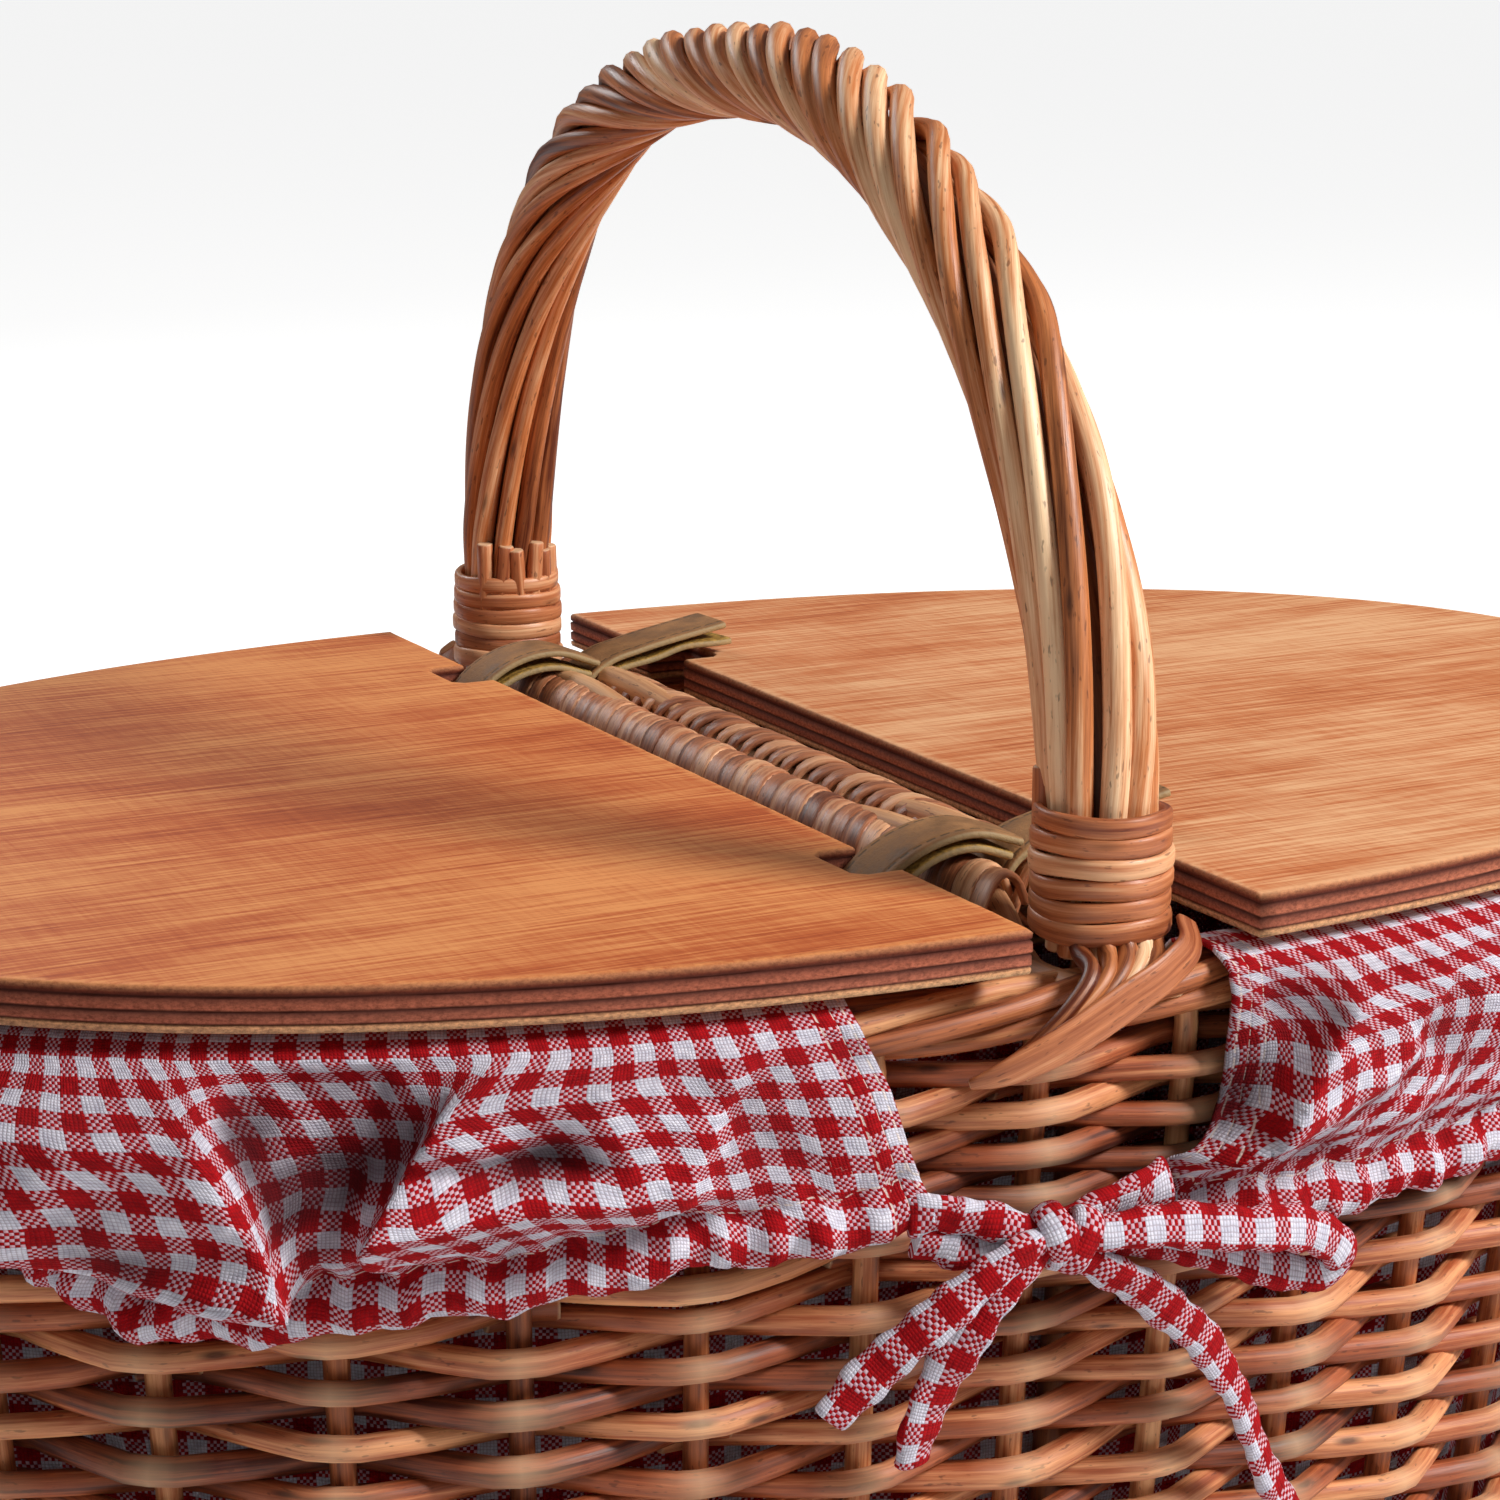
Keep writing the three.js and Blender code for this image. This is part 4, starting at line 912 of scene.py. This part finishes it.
def lid(side, sign):
    lo, hi = box_mm(f"lid_{side}")
    inner, half_x = sorted((abs(lo[0]), abs(hi[0])))
    half_y = hi[1] / (1 - (inner / half_x) ** OVAL_POWER) ** (1 / OVAL_POWER)
    outline = lid_outline(inner, half_x, half_y)
    ahead = unit(np.roll(outline, -1, 0) - outline)
    normals = np.stack([ahead[:, 1], -ahead[:, 0]], -1)
    before = np.roll(normals, 1, 0)
    inward = (normals + before) / (1 + np.sum(normals * before, -1, keepdims=True))
    n = len(outline)
    points, grain, edge, wear = [], [], [], []
    for inset, z, share, worn in PLY_PROFILE:
        chip = np.abs(rng.normal(0, EDGE_CHIP, n)) * (share > 0)
        ring = outline + inward * (inset + chip)[:, None]
        points.append(np.stack([sign * ring[:, 0], ring[:, 1], np.full(n, lo[2] + z)], -1))
        grain.append(np.stack([ring[:, 0], ring[:, 1], np.full(n, z / (hi[2] - lo[2]))], -1))
        edge.append(np.full(n, float(share)))
        wear.append(np.full(n, float(worn)))
    quads = grid_faces(np.arange(len(PLY_PROFILE) - 1), np.arange(n), len(PLY_PROFILE), n)
    ring = np.arange(n)
    caps = np.stack([ring[::-1], ring + (len(PLY_PROFILE) - 1) * n])
    if sign > 0:
        quads, caps = quads[:, ::-1], caps[:, ::-1]
    piece = Piece()
    piece.put(*(np.concatenate(v) for v in (points, grain, edge, wear)), quads)
    piece.faces(caps, True)
    piece.build(f"{side}_lid_board", ply_looks[side], f"{side}_lid", [f"lid_{side}"])


for side, sign in SIDES.items():
    lid(side, sign)

# ---------------------------------------------------------------- straps and tacks

# The layers of each side's strap: x, z from the end under the lid, or from the fold, to the free end.
STRAPS = {
    "left": [
        [
            (-60, 203.6), (-42, 203.6), (-35, 205.2), (-30, 210), (-24, 215.4), (-16, 218.8), (-8, 219.6),
            (2.5, 216.8),
        ],
        [
            (-58, 201.7), (-42, 201.6), (-34, 203), (-28, 207.6), (-22, 212.4), (-15, 215.6), (-8, 216.6),
            (0.5, 214.6),
        ],
    ],
    "right": [
        [
            (60, 203.4), (42, 203.2), (31, 200.5), (21, 197.5), (10, 196.6), (2, 198.2), (-1.4, 205),
            (0.6, 212), (6, 216), (14, 218.2), (25, 220.6), (36, 222.8),
        ],
        [(8, 213.6), (14, 215.6), (25, 217.6), (33, 218.6), (37, 219)],
    ],
}
STRAP_HALF, STRAP_HALF_THICK = 7.4, 0.95
STRAP_SIDES = 16
BEND_FROM_X, BEND_TO_X = 16, 34
TACK_SINK = 1.6
# A tack's domed head, from below: height, share of its radius.
TACK_HEAD = [(0.2, 0.5), (0.55, 0.86), (1.0, 1.0), (1.4, 1.0)]
TACK_TIP_R, TACK_NECK_R, TACK_PIN_R = 0.5, 0.9, 0.8


def strap(side, sign, end, y):
    piece = Piece()
    angle = TURN * (np.arange(STRAP_SIDES) + 0.5) / STRAP_SIDES
    for layer, path in enumerate(STRAPS[side]):
        track = spline([(x, y, z) for x, z in path], 1.2)
        tangent = unit(np.gradient(track, axis=0))
        up = np.stack([-tangent[:, 2], 0 * track[:, 0], tangent[:, 0]], -1)
        share = np.linspace(0, 1, len(track))
        track = track + up * (0.5 * np.sin(9 * share + layer + y))[:, None]
        track[:, 1] += 1.2 * np.sin(5 * share + y) * smooth(share, 0.4, 1)
        suede = np.clip(0.5 - np.sign(np.cos(angle)) * 0.5 + layer, 0, 1)
        cut = smooth(np.abs(np.sin(angle)), 0.9, 0.99)
        piece.rod(
            track, STRAP_HALF_THICK, STRAP_HALF * (1 - 0.04 * layer), up=up, sides=STRAP_SIDES, square=5,
            tone=suede, end=cut, seed=False,
        )
    blend = ("basket", f"{side}_lid", (sign * BEND_FROM_X * MM, 0, 0), (sign * BEND_TO_X * MM, 0, 0))
    nodes = [f"strap_loop_{side}_{end}", f"strap_tab_{side}_{end}"]
    piece.build(f"hinge_strap_{side}_{end}", leather, blend, nodes)
    for k in (1, 2):
        tack(side, f"{side}_{end}_{k}")


def tack(side, name):
    lo, hi = box_mm(f"strap_tack_{name}")
    mid = (lo + hi) / 2
    head_r = (hi[0] - lo[0]) / 2
    low = lo[2] - TACK_SINK
    profile = [(low, TACK_TIP_R)] + [(low + z, head_r * share) for z, share in TACK_HEAD]
    profile += [(low + 1.45, TACK_NECK_R), (hi[2], TACK_PIN_R)]
    piece = Piece()
    path = [(mid[0], mid[1], z) for z, r in profile]
    piece.rod(path, [r for z, r in profile], up=ACROSS, sides=18, cut=0)
    piece.build(f"brass_tack_{name}", brass, f"{side}_lid", [f"strap_tack_{name}"])


for side, sign in SIDES.items():
    for end, y in (("near", -NOTCH_Y), ("far", NOTCH_Y)):
        strap(side, sign, end, y)

# ---------------------------------------------------------------- liner

# A seam value for cloth that has no seam in reach.
NO_SEAM = 9.0
# The flap's lower edge: s, z.
HEM_Z = [
    (30, 166), (42, 166), (54, 164), (68, 160), (83, 157), (101, 153), (120, 151), (140, 149), (160, 146),
    (181, 148), (192, 155), (203, 160), (222, 161), (245, 156), (268, 151), (292, 154), (318, 159),
    (345, 153), (372, 149), (398, 154), (425, 158), (452, 153), (480, 148), (503, 147), (532, 149),
    (557, 151), (574, 153), (600, 158),
]
# The flap's two ends: z, s.
NEAR_EDGE_S = [(150, 40), (167, 42), (190, 50), (205, 57), (215, 59)]
FAR_EDGE_S = [(150, 600), (160, 597), (166, 590), (174, 581), (178, 579), (205, 579), (215, 580)]
# Folds: points [s, z] from the top down, height, width towards smaller s, width towards larger s, lean.
FOLDS = [
    ([(72, 208), (80, 188), (88, 168)], 3.2, 5, 11, 0.2),
    ([(98, 206), (97, 188), (94, 172)], 2.2, 8, 6, 0.1),
    ([(119, 208), (124, 194), (132, 179), (141, 165)], 7.0, 20, 4.5, -0.55),
    ([(137, 208), (141, 180), (143, 168)], -3.0, 5, 7, 0.0),
    ([(158, 208), (157, 193), (151, 180), (145, 168), (139, 158)], 10.5, 5.5, 26, 0.75),
    ([(178, 206), (186, 186), (190, 166)], 3.0, 9, 14, 0.2),
    ([(214, 207), (210, 188), (200, 166)], 7.0, 16, 6, -0.5),
    ([(246, 207), (252, 184), (262, 160)], 6.5, 6, 18, 0.5),
    ([(284, 207), (278, 184), (270, 162)], 5.0, 16, 6, -0.4),
    ([(318, 207), (322, 186), (330, 166)], 7.5, 6, 18, 0.6),
    ([(356, 207), (350, 186), (340, 162)], 5.0, 14, 7, -0.3),
    ([(392, 207), (396, 184), (406, 162)], 7.0, 7, 18, 0.5),
    ([(430, 207), (424, 186), (416, 164)], 5.5, 16, 6, -0.4),
    ([(462, 207), (466, 184), (472, 160)], 4.0, 8, 14, 0.3),
    ([(500, 207), (506, 186), (512, 164)], 3.5, 12, 10, 0.1),
    ([(530, 207), (536, 190), (548, 172)], 2.6, 10, 8, -0.2),
    ([(556, 208), (565, 188), (578, 168), (590, 162)], 7.0, 18, 5, -0.6),
    ([(577, 208), (578, 186), (584, 168)], 3.5, 4, 4, 0.0),
]
# Lying folds: points [s, z] along the fold, height, width above, width below.
ROLLS = [
    ([(84, 170), (98, 163), (116, 160)], 4.5, 5, 4),
    ([(94, 173), (112, 175), (130, 174), (152, 168), (172, 165)], 7.0, 3.5, 8),
    ([(98, 181), (113, 180), (128, 184)], -4.0, 3.5, 3.5),
    ([(118, 160), (140, 157), (164, 156), (186, 160), (196, 166)], 7.0, 9, 9),
    ([(262, 166), (286, 163), (308, 170)], 4.0, 7, 6),
    ([(360, 160), (384, 160), (404, 168)], 4.0, 7, 6),
    ([(470, 160), (500, 158), (520, 163)], 3.0, 7, 6),
    ([(540, 176), (560, 170), (588, 165)], 3.2, 5, 5),
    ([(530, 163), (556, 162), (588, 161)], 3.0, 5, 5),
]
# The gathered hem, round its drawstring: distance out from the sheet, height above the flap's lower edge.
HEM_LOOP = [
    (0, 6.0), (1.6, 4.2), (3.2, 2.2), (3.9, 0), (3.5, -2.2), (2.2, -3.8), (0.4, -4.4), (-1.0, -3.4),
    (-1.4, -1), (-1.1, 1.8), (-0.9, 4.4),
]
# From inside the wall up over the rim: off, z.
INNER_LEG = [
    (-13.6, 186), (-13.2, 191), (-12.6, 196), (-11, 200.6), (-8, 204), (-4, 205.6), (0, 206), (4, 205.6),
    (7, 204.2),
]
SHEET_OFF = 9.8
CLOTH_THICK = 0.9
TOP_Z = 202.4
# Folds stand out this many times their height, and hem and folds sit this much higher than listed.
FOLD_GAIN = 2.0
HEM_LIFT, FOLD_LIFT = 8.0, 6.0
FOLD_SHARPNESS, ROLL_SHARPNESS = 1.35, 1.8
# The share of a fold that the drawstring flattens, the sag between rim and hem, the ripple of the hem,
# and the deepest hollow behind the sheet.
HEM_HOLD, DRAPE, GATHER, DEEPEST = 0.88, 2.2, 1.5, 0.9
# The flap's ends are turned in: how far, how softly that ends, what it adds, and its two lines of stitches.
EDGE_BAND, BAND_SOFT, BAND_THICK = 8.5, 0.8, 0.6
BAND_SEAM, OUTER_SEAM = 7.3, 1.6
# A hollow this deep gets the full painted shade.
CAVITY_DEPTH = 4.0
COLUMNS, OUTER_ROWS = 340, 46


def fold_height(s, z):
    """How far folds lift the cloth, and how far their lean shifts it along the rim."""
    height, shift = np.zeros_like(s), np.zeros_like(s)
    for line, rise, narrow, broad, lean in FOLDS:
        line = np.array(line, float)[::-1]
        line[:, 0] += lean * abs(rise) * FOLD_GAIN
        gap = s - np.interp(z, line[:, 1], line[:, 0])
        width = np.where(gap < 0, narrow, broad)
        low_s, low_z = line[0]
        # Folds away from the near side are lower and end higher up.
        away = smooth(low_s, 192, 215) * smooth(low_s, 560, 530)
        rise = FOLD_GAIN * rise * (1 - 0.2 * away)
        bump = rise * np.exp(-np.abs(gap / width) ** FOLD_SHARPNESS)
        bump = bump * smooth(z, low_z - 8, low_z + 10 + 16 * away)
        height += bump
        shift -= lean * bump
    for line, rise, above, below in ROLLS:
        line = np.array(line, float)
        gap = z - np.interp(s, line[:, 0], line[:, 1])
        width = np.where(gap > 0, above, below)
        ends = smooth(s, line[0, 0] - 12, line[0, 0] + 8) * smooth(s, line[-1, 0] + 12, line[-1, 0] - 8)
        height += rise * np.exp(-np.abs(gap / width) ** ROLL_SHARPNESS) * ends
    return height, shift


inner = np.array(INNER_LEG)
loop_rows = np.array(HEM_LOOP)[1:]
down = np.linspace(0, 1, OUTER_ROWS)


def by_row(inside, outside, hem):
    """A value for each row of the flap: up the inside and over the rim, down the outside, round the hem."""
    return np.concatenate([np.full(len(inner), inside), outside, np.full(len(loop_rows), hem)])[None, :]


u = np.linspace(0, 1, COLUMNS)[:, None]
flat_s, flat_z = np.array(HEM_Z, float).T
flat_z += HEM_LIFT * smooth(flat_s, 50, 92) * smooth(flat_s, 560, 500)
guess = NEAR_EDGE_S[1][1] + (FAR_EDGE_S[1][1] - NEAR_EDGE_S[1][1]) * u
hem = np.interp(guess, flat_s, flat_z) + 0.7 * np.sin(guess * 0.31) + 0.4 * np.sin(guess * 0.73)
z_rows = np.concatenate([
    np.broadcast_to(inner[:, 1], (COLUMNS, len(inner))),
    TOP_Z + (hem + HEM_LOOP[0][1] - TOP_Z) * down,
    hem + loop_rows[:, 1],
], axis=1)
near_s = np.interp(z_rows, *np.array(NEAR_EDGE_S, float).T)
far_s = np.interp(z_rows, *np.array(FAR_EDGE_S, float).T)
s_rows = near_s + (far_s - near_s) * u
height, shift = fold_height(s_rows, z_rows - FOLD_LIFT)
free = smooth(z_rows, 206.5, 200.5)
outside = by_row(0.0, smooth(down, 0, 0.12), 1.0)
hemness = by_row(0.0, smooth(down, 0.8, 1), 1.0)
profile = by_row(inner[:, 0], SHEET_OFF + 0 * down, SHEET_OFF + loop_rows[:, 0])
gathers = GATHER * lumps(s_rows * 0.6, z_rows * 0.12, 5, 7, 0.7, 1.5) * hemness
wrinkles = 1.2 * lumps(s_rows * 0.16, z_rows * 0.13, 3, 10, 0.5, 1.7)
wrinkles = wrinkles + 0.4 * lumps(s_rows * 0.34, z_rows * 0.3, 12, 8)
edge_pull = smooth(s_rows - near_s, 0, 14) * smooth(far_s - s_rows, 0, 10)
drape = DRAPE * by_row(0.0, np.sin(np.pi * down) ** 0.8, 0.0)
swell = height * (1 - HEM_HOLD * hemness) * (0.25 + 0.75 * edge_pull) + wrinkles * free + drape * edge_pull
swell = swell * outside * free + gathers
off_rows = profile + np.maximum(swell, -DEEPEST * outside)
under_lid = slice(None), slice(len(inner))
off_rows[under_lid] = profile[under_lid] + 0.25 * lumps(s_rows * 0.2, z_rows * 0.1, 8)[under_lid]
sink = 0.16 * height * outside * (1 - hemness)
flap_points = wall(s_rows + shift * outside * free * (1 - 0.6 * hemness), off_rows, z_rows - sink)

# Lengths along the cloth, evened out so that the checks stay regular and folds bend them only a little.
cloth_u = lengths(flap_points)
padded = np.pad(cloth_u, ((0, 0), (9, 9)), mode="edge")
soft_u = np.stack([np.convolve(row, np.ones(19) / 19, "valid") for row in padded])
cloth_u = 0.2 * soft_u + 0.8 * cloth_u.mean(axis=1, keepdims=True)
cloth_v = lengths(flap_points.swapaxes(0, 1)).T
window = np.hanning(61) / np.hanning(61).sum()
padded = np.pad(cloth_v, ((30, 30), (0, 0)), mode="edge")
soft_v = np.stack([np.convolve(column, window, "valid") for column in padded.T], -1)
cloth_v = 0.15 * cloth_v + 0.85 * soft_v
cloth = np.stack([cloth_u, cloth_v, 0 * cloth_u], -1)

from_edge = np.minimum(cloth_u, cloth_u[-1:] - cloth_u)
band = smooth(from_edge, EDGE_BAND + BAND_SOFT, EDGE_BAND - BAND_SOFT)
flap_points = flap_points + outward(s_rows, z_rows) * (BAND_THICK * band * outside)[..., None]
seam = cloth_v - cloth_v[:, len(inner) + OUTER_ROWS - 2][:, None]
for line in (BAND_SEAM, OUTER_SEAM):
    seam = np.where(np.abs(seam) < np.abs(from_edge - line), seam, from_edge - line)

# Painted shade: the depth below the cloth around, which darkens the cloth in folds, and a painted shadow just
# under the rim and lid.
smooth_off = np.pad(off_rows, ((14, 14), (10, 10)), mode="edge")
for axis, width in ((0, 29), (1, 21)):
    bell = np.hanning(width + 2)[1:-1]
    smooth_off = np.apply_along_axis(np.convolve, axis, smooth_off, bell / bell.sum(), "valid")
painted_shade = np.clip((smooth_off - off_rows) / CAVITY_DEPTH, 0, 1) * outside * (1 - 0.6 * hemness)
# Painted shadow of the lid on the top of the flap, outside the wall.
painted_shade = np.clip(painted_shade + 0.35 * smooth(z_rows, 192, 204) * outside, 0, 1)
for side, half_turn in (("left", False), ("right", True)):
    flap = Piece()
    flap.sheet(flap_points, CLOTH_THICK, cloth, tone=seam, end=painted_shade)
    flap.build(f"gingham_flap_{side}", gingham, "basket", [f"liner_flap_{side}"], half_turn)

BAG_THICK, BAG_SLACK = 1.1, 2.2
BAG_COLUMNS = 300
BAG_FLOOR_Z = 15.2
# Keeps the cloth's own coordinates positive on the floor.
FLOOR_CLOTH_SHIFT = [400, 300, 0]
# From the middle of the floor outward and up the wall: off, z.
bag_rows = np.array(
    [(off, BAG_FLOOR_Z) for off in np.linspace(-BASE_HALF_Y + 1.5, -24, 22)]
    + [(-19.5, 16.2), (-16.5, 18.6), (-15, 22.5)]
    + [(-14.2, z) for z in np.linspace(27, 186, 40)]
    + [(-14.4, 190), (-14.6, 194)]
)
s = np.linspace(0, PERIMETER, BAG_COLUMNS, endpoint=False)[:, None]
s, off, z = np.broadcast_arrays(s, *bag_rows.T)
turn = TURN * s / PERIMETER
wave = 0.8 * np.sin(23 * turn + 2 * np.sin(z / 40)) + 0.5 * np.sin(41 * turn + z / 25)
wave = wave + np.sin(9 * turn + z / 33 + 2)
lift = smooth(z, 20, 70) * smooth(z, 194, 150)
flat = smooth(z, 20, 15.5)
bag_points = wall(s, off - (wave + BAG_SLACK) * 1.5 * lift - 0.25 * wave * (1 - flat), z)
bag_points[..., 2] += flat * (0.5 + 0.4 * lumps(bag_points[..., 0] * 0.06, bag_points[..., 1] * 0.06, 21))
bag_v = lengths(bag_points.swapaxes(0, 1)).mean(axis=1)
cloth = np.stack([s * 0.92, np.broadcast_to(bag_v, s.shape), 0 * s], -1)
on_floor = smooth(z, 17, 15.5)[..., None] > 0.5
cloth = np.where(on_floor, bag_points * [1, 1, 0] + FLOOR_CLOTH_SHIFT, cloth)
bag = Piece()
bag.sheet(bag_points, BAG_THICK, cloth, tone=NO_SEAM, closed=True)
bag.build("gingham_bag", gingham, "basket", ["liner_bag"])

# Tie strips: points [s, off, z, half width, half thickness].
TIE = [
    [
        (45, 12, 164, 4.2, 1.8), (36, 13.4, 163.4, 4, 2), (27, 14.6, 161.4, 3.6, 2.1),
        (21, 15.4, 158.8, 2.8, 2.3),
    ],
    [
        (43, 11.6, 158, 3.4, 1.6), (34, 12.6, 156.4, 3.6, 1.8), (27, 14, 156.4, 3.2, 2),
        (20, 15, 157, 2.6, 2.2),
    ],
    [
        (-8, 11.4, 162.4, 4.4, 1.7), (-1, 12.6, 161.6, 3.8, 2), (7, 14, 160, 3.2, 2.2),
        (15, 15.4, 158.4, 2.7, 2.3),
    ],
    [
        (14, 17.4, 157, 2.4, 2.4), (5, 19.4, 157.4, 3.6, 2.2), (-8, 20.8, 156, 4.3, 2),
        (-22, 21, 152.6, 4.4, 1.9), (-34, 19.8, 148.6, 4.4, 1.9), (-41, 18.4, 144.4, 4.2, 2),
        (-43.6, 16.6, 140.6, 3.6, 2.1), (-41, 14.8, 137.4, 3.6, 2.1), (-34, 13.6, 138.6, 3.8, 2),
        (-22, 13, 144, 3.8, 1.9), (-8, 13.4, 150, 3.4, 1.9), (6, 14.6, 154.4, 2.8, 2),
        (13, 15.6, 156, 2.2, 2.2),
    ],
    [
        (19, 18, 158, 2.4, 2.3), (26, 19.4, 155.4, 3.4, 2.1), (36, 19, 149.4, 3.9, 1.9),
        (47, 17.4, 141, 4.1, 1.8), (55, 15.6, 133.6, 4.2, 1.8), (60, 14.6, 127.6, 4, 1.9),
    ],
    [
        (19, 17, 156, 2.4, 2.3), (26, 18, 150.4, 3.6, 2), (33, 17.2, 141.4, 4.2, 1.9),
        (38.6, 15.4, 130.6, 4.5, 1.8), (42, 14, 120, 4.6, 1.8), (42.6, 13.6, 115.4, 4, 1.9),
    ],
    [
        (13, 17, 154, 2.5, 2.3), (6, 17.8, 149.4, 3.6, 2), (-4, 17, 141.6, 4, 1.9),
        (-14, 15.4, 131.4, 4, 1.8), (-23, 14.2, 118.6, 3.9, 1.8), (-30, 13.4, 106, 3.8, 1.8),
        (-35.6, 13, 95, 3.8, 1.9), (-43, 12.8, 84.6, 3.7, 1.9), (-47, 12.8, 80, 3.6, 1.9),
    ],
]
# The knot: two turns of the strip, each a tilted ring [centre s, off, z, half height, half width, tilt].
KNOT = [(16.5, 16.8, 157.6, 4.6, 3.2, 0.35), (12.5, 17.2, 156.4, 4.2, 2.9, -0.5)]
# Near the knot the bow sits this much further left than listed, and all of it this much higher.
KNOT_S, KNOT_SHIFT, TIE_RAISED = 14.0, 3.0, 1.2
KNOT_HALF_THICK, KNOT_HALF_WIDE = 1.9, 3.3


def tie(piece):
    for k, strip in enumerate(TIE):
        s, off, z, wide, thick = spline(strip, 1.1).T
        s, z = s + KNOT_SHIFT * smooth(np.abs(s - KNOT_S), 40, 10), z + TIE_RAISED
        swing = lumps(s * 0.16, z * 0.16, 30 + k, 5)
        centre = wall(s, off + 0.35 * swing, z + 0.4 * np.roll(swing, 7))
        up = outward(s, z)
        tangent = unit(np.gradient(centre, axis=0))
        tilt = 0.5 * np.sin(np.linspace(0, 4.8, len(s)) + 1.3 * k)[:, None]
        up = unit(up * np.cos(tilt) + np.cross(tangent, up) * np.sin(tilt))
        n = np.arange(len(s))
        puff = 1 + 0.07 * np.sin(n * 0.9 + k) + 0.05 * np.sin(n * 0.37)
        piece.rod(
            centre, thick * puff, wide * puff, up=up, sides=16, square=2.4,
            tone=NO_SEAM, cut=0, cloth=True,
        )
    for s, off, z, tall, deep, tilt in KNOT:
        a = np.linspace(0, TURN, 30, endpoint=False)
        up_down, in_out = tall * np.cos(a), deep * np.sin(a)
        path = wall(s + KNOT_SHIFT + tilt * up_down, off + in_out, z + TIE_RAISED + up_down)
        away = unit(path - path.mean(axis=0))
        puff = 1 + 0.1 * np.sin(3 * a + s)
        piece.rod(
            path, KNOT_HALF_THICK * puff, KNOT_HALF_WIDE * puff, up=away, sides=14, square=2.2,
            tone=NO_SEAM, closed=True, cloth=True,
        )


both_feet("gingham_tie", tie, gingham, "liner_tie")

# ---------------------------------------------------------------- floor, light and camera

# Metres from here on.
FLOOR_HALF = 80.0
FLOOR_WHITE = (0.88, 0.88, 0.88, 1)
GLOW_FROM, GLOW_TO = 0.3, 1.5
GLOW_NEAR, GLOW_FAR = 0.22, 0.88
SKY_FILL = 0.14

corners = [(-1, -1), (1, -1), (1, 1), (-1, 1)]
floor = bpy.data.objects.new("studio_floor", bpy.data.meshes.new("studio_floor"))
floor.data.from_pydata([(x * FLOOR_HALF, y * FLOOR_HALF, 0) for x, y in corners], [], [(0, 1, 2, 3)])
look = Look("studio_floor")
place = look.node("TexCoord").outputs["Object"]
# The camera sees the floor glow, more so further away, so that the contact shadows end in plain white.
away = look.node("VectorMath", {0: place}, operation="LENGTH").outputs["Value"]
seen = look.node("LightPath").outputs["Is Camera Ray"]
glow = look.times(seen, look.range(away, GLOW_FROM, GLOW_TO, GLOW_NEAR, GLOW_FAR))
paper = look.bump(look.noise(place, 40.0), 0.02, 0.2)
floor.data.materials.append(
    look.finish(FLOOR_WHITE, 0.8, paper, Emission_Color=FLOOR_WHITE, Emission_Strength=glow)
)
bpy.context.scene.collection.objects.link(floor)

# The camera sees a white sky, which lights the basket with only a share of its strength.
world = bpy.data.worlds.new("studio")
world.use_nodes = True
nodes, links = world.node_tree.nodes, world.node_tree.links
strength = nodes.new("ShaderNodeMapRange")
strength.inputs["To Min"].default_value = SKY_FILL
nodes["Background"].inputs["Color"].default_value = (1, 1, 1, 1)
links.new(nodes.new("ShaderNodeLightPath").outputs["Is Camera Ray"], strength.inputs["Value"])
links.new(strength.outputs[0], nodes["Background"].inputs["Strength"])
bpy.context.scene.world = world

WARM = (1, 0.985, 0.96)
# Name, place, point aimed at, width and height, watts, colour.
LIGHTS = [
    ("key", (1.08, -1.2, 1.5), (0, 0, 0.15), (0.6, 0.6), 52, WARM),
    ("fill", (-1.4, -1.2, 0.9), (0, 0, 0.15), (0.8, 0.8), 2.2, WARM),
    ("back", (-0.4, 1.5, 1.3), (0, 0, 0.2), (1.0, 0.5), 12, (1, 1, 1)),
]
for name, place, aim, size, watts, colour in LIGHTS:
    data = bpy.data.lights.new(name, "AREA")
    data.shape = "RECTANGLE"
    data.size, data.size_y = size
    data.energy = watts
    data.color = colour
    lamp = bpy.data.objects.new(name, data)
    lamp.location = place
    lamp.rotation_euler = (Vector(aim) - Vector(place)).to_track_quat("-Z", "Y").to_euler()
    bpy.context.scene.collection.objects.link(lamp)

CAMERA_PLACE = (-0.3506, -0.6675, 0.3918)
CAMERA_AZIMUTH, CAMERA_ELEVATION = math.radians(-27.55), math.radians(13.26)
CAMERA_LENS = 86.4
camera = bpy.data.objects.new("camera", bpy.data.cameras.new("camera"))
camera.data.lens = CAMERA_LENS
camera.data.sensor_width = 36
camera.data.clip_start, camera.data.clip_end = 0.02, 50
level = math.cos(CAMERA_ELEVATION)
back = (math.sin(CAMERA_AZIMUTH) * level, -math.cos(CAMERA_AZIMUTH) * level, math.sin(CAMERA_ELEVATION))
camera.location = CAMERA_PLACE
camera.rotation_mode = "QUATERNION"
camera.rotation_quaternion = (-Vector(back)).to_track_quat("-Z", "Y")
bpy.context.scene.collection.objects.link(camera)
bpy.context.scene.camera = camera
bpy.context.scene.view_settings.view_transform = "Standard"
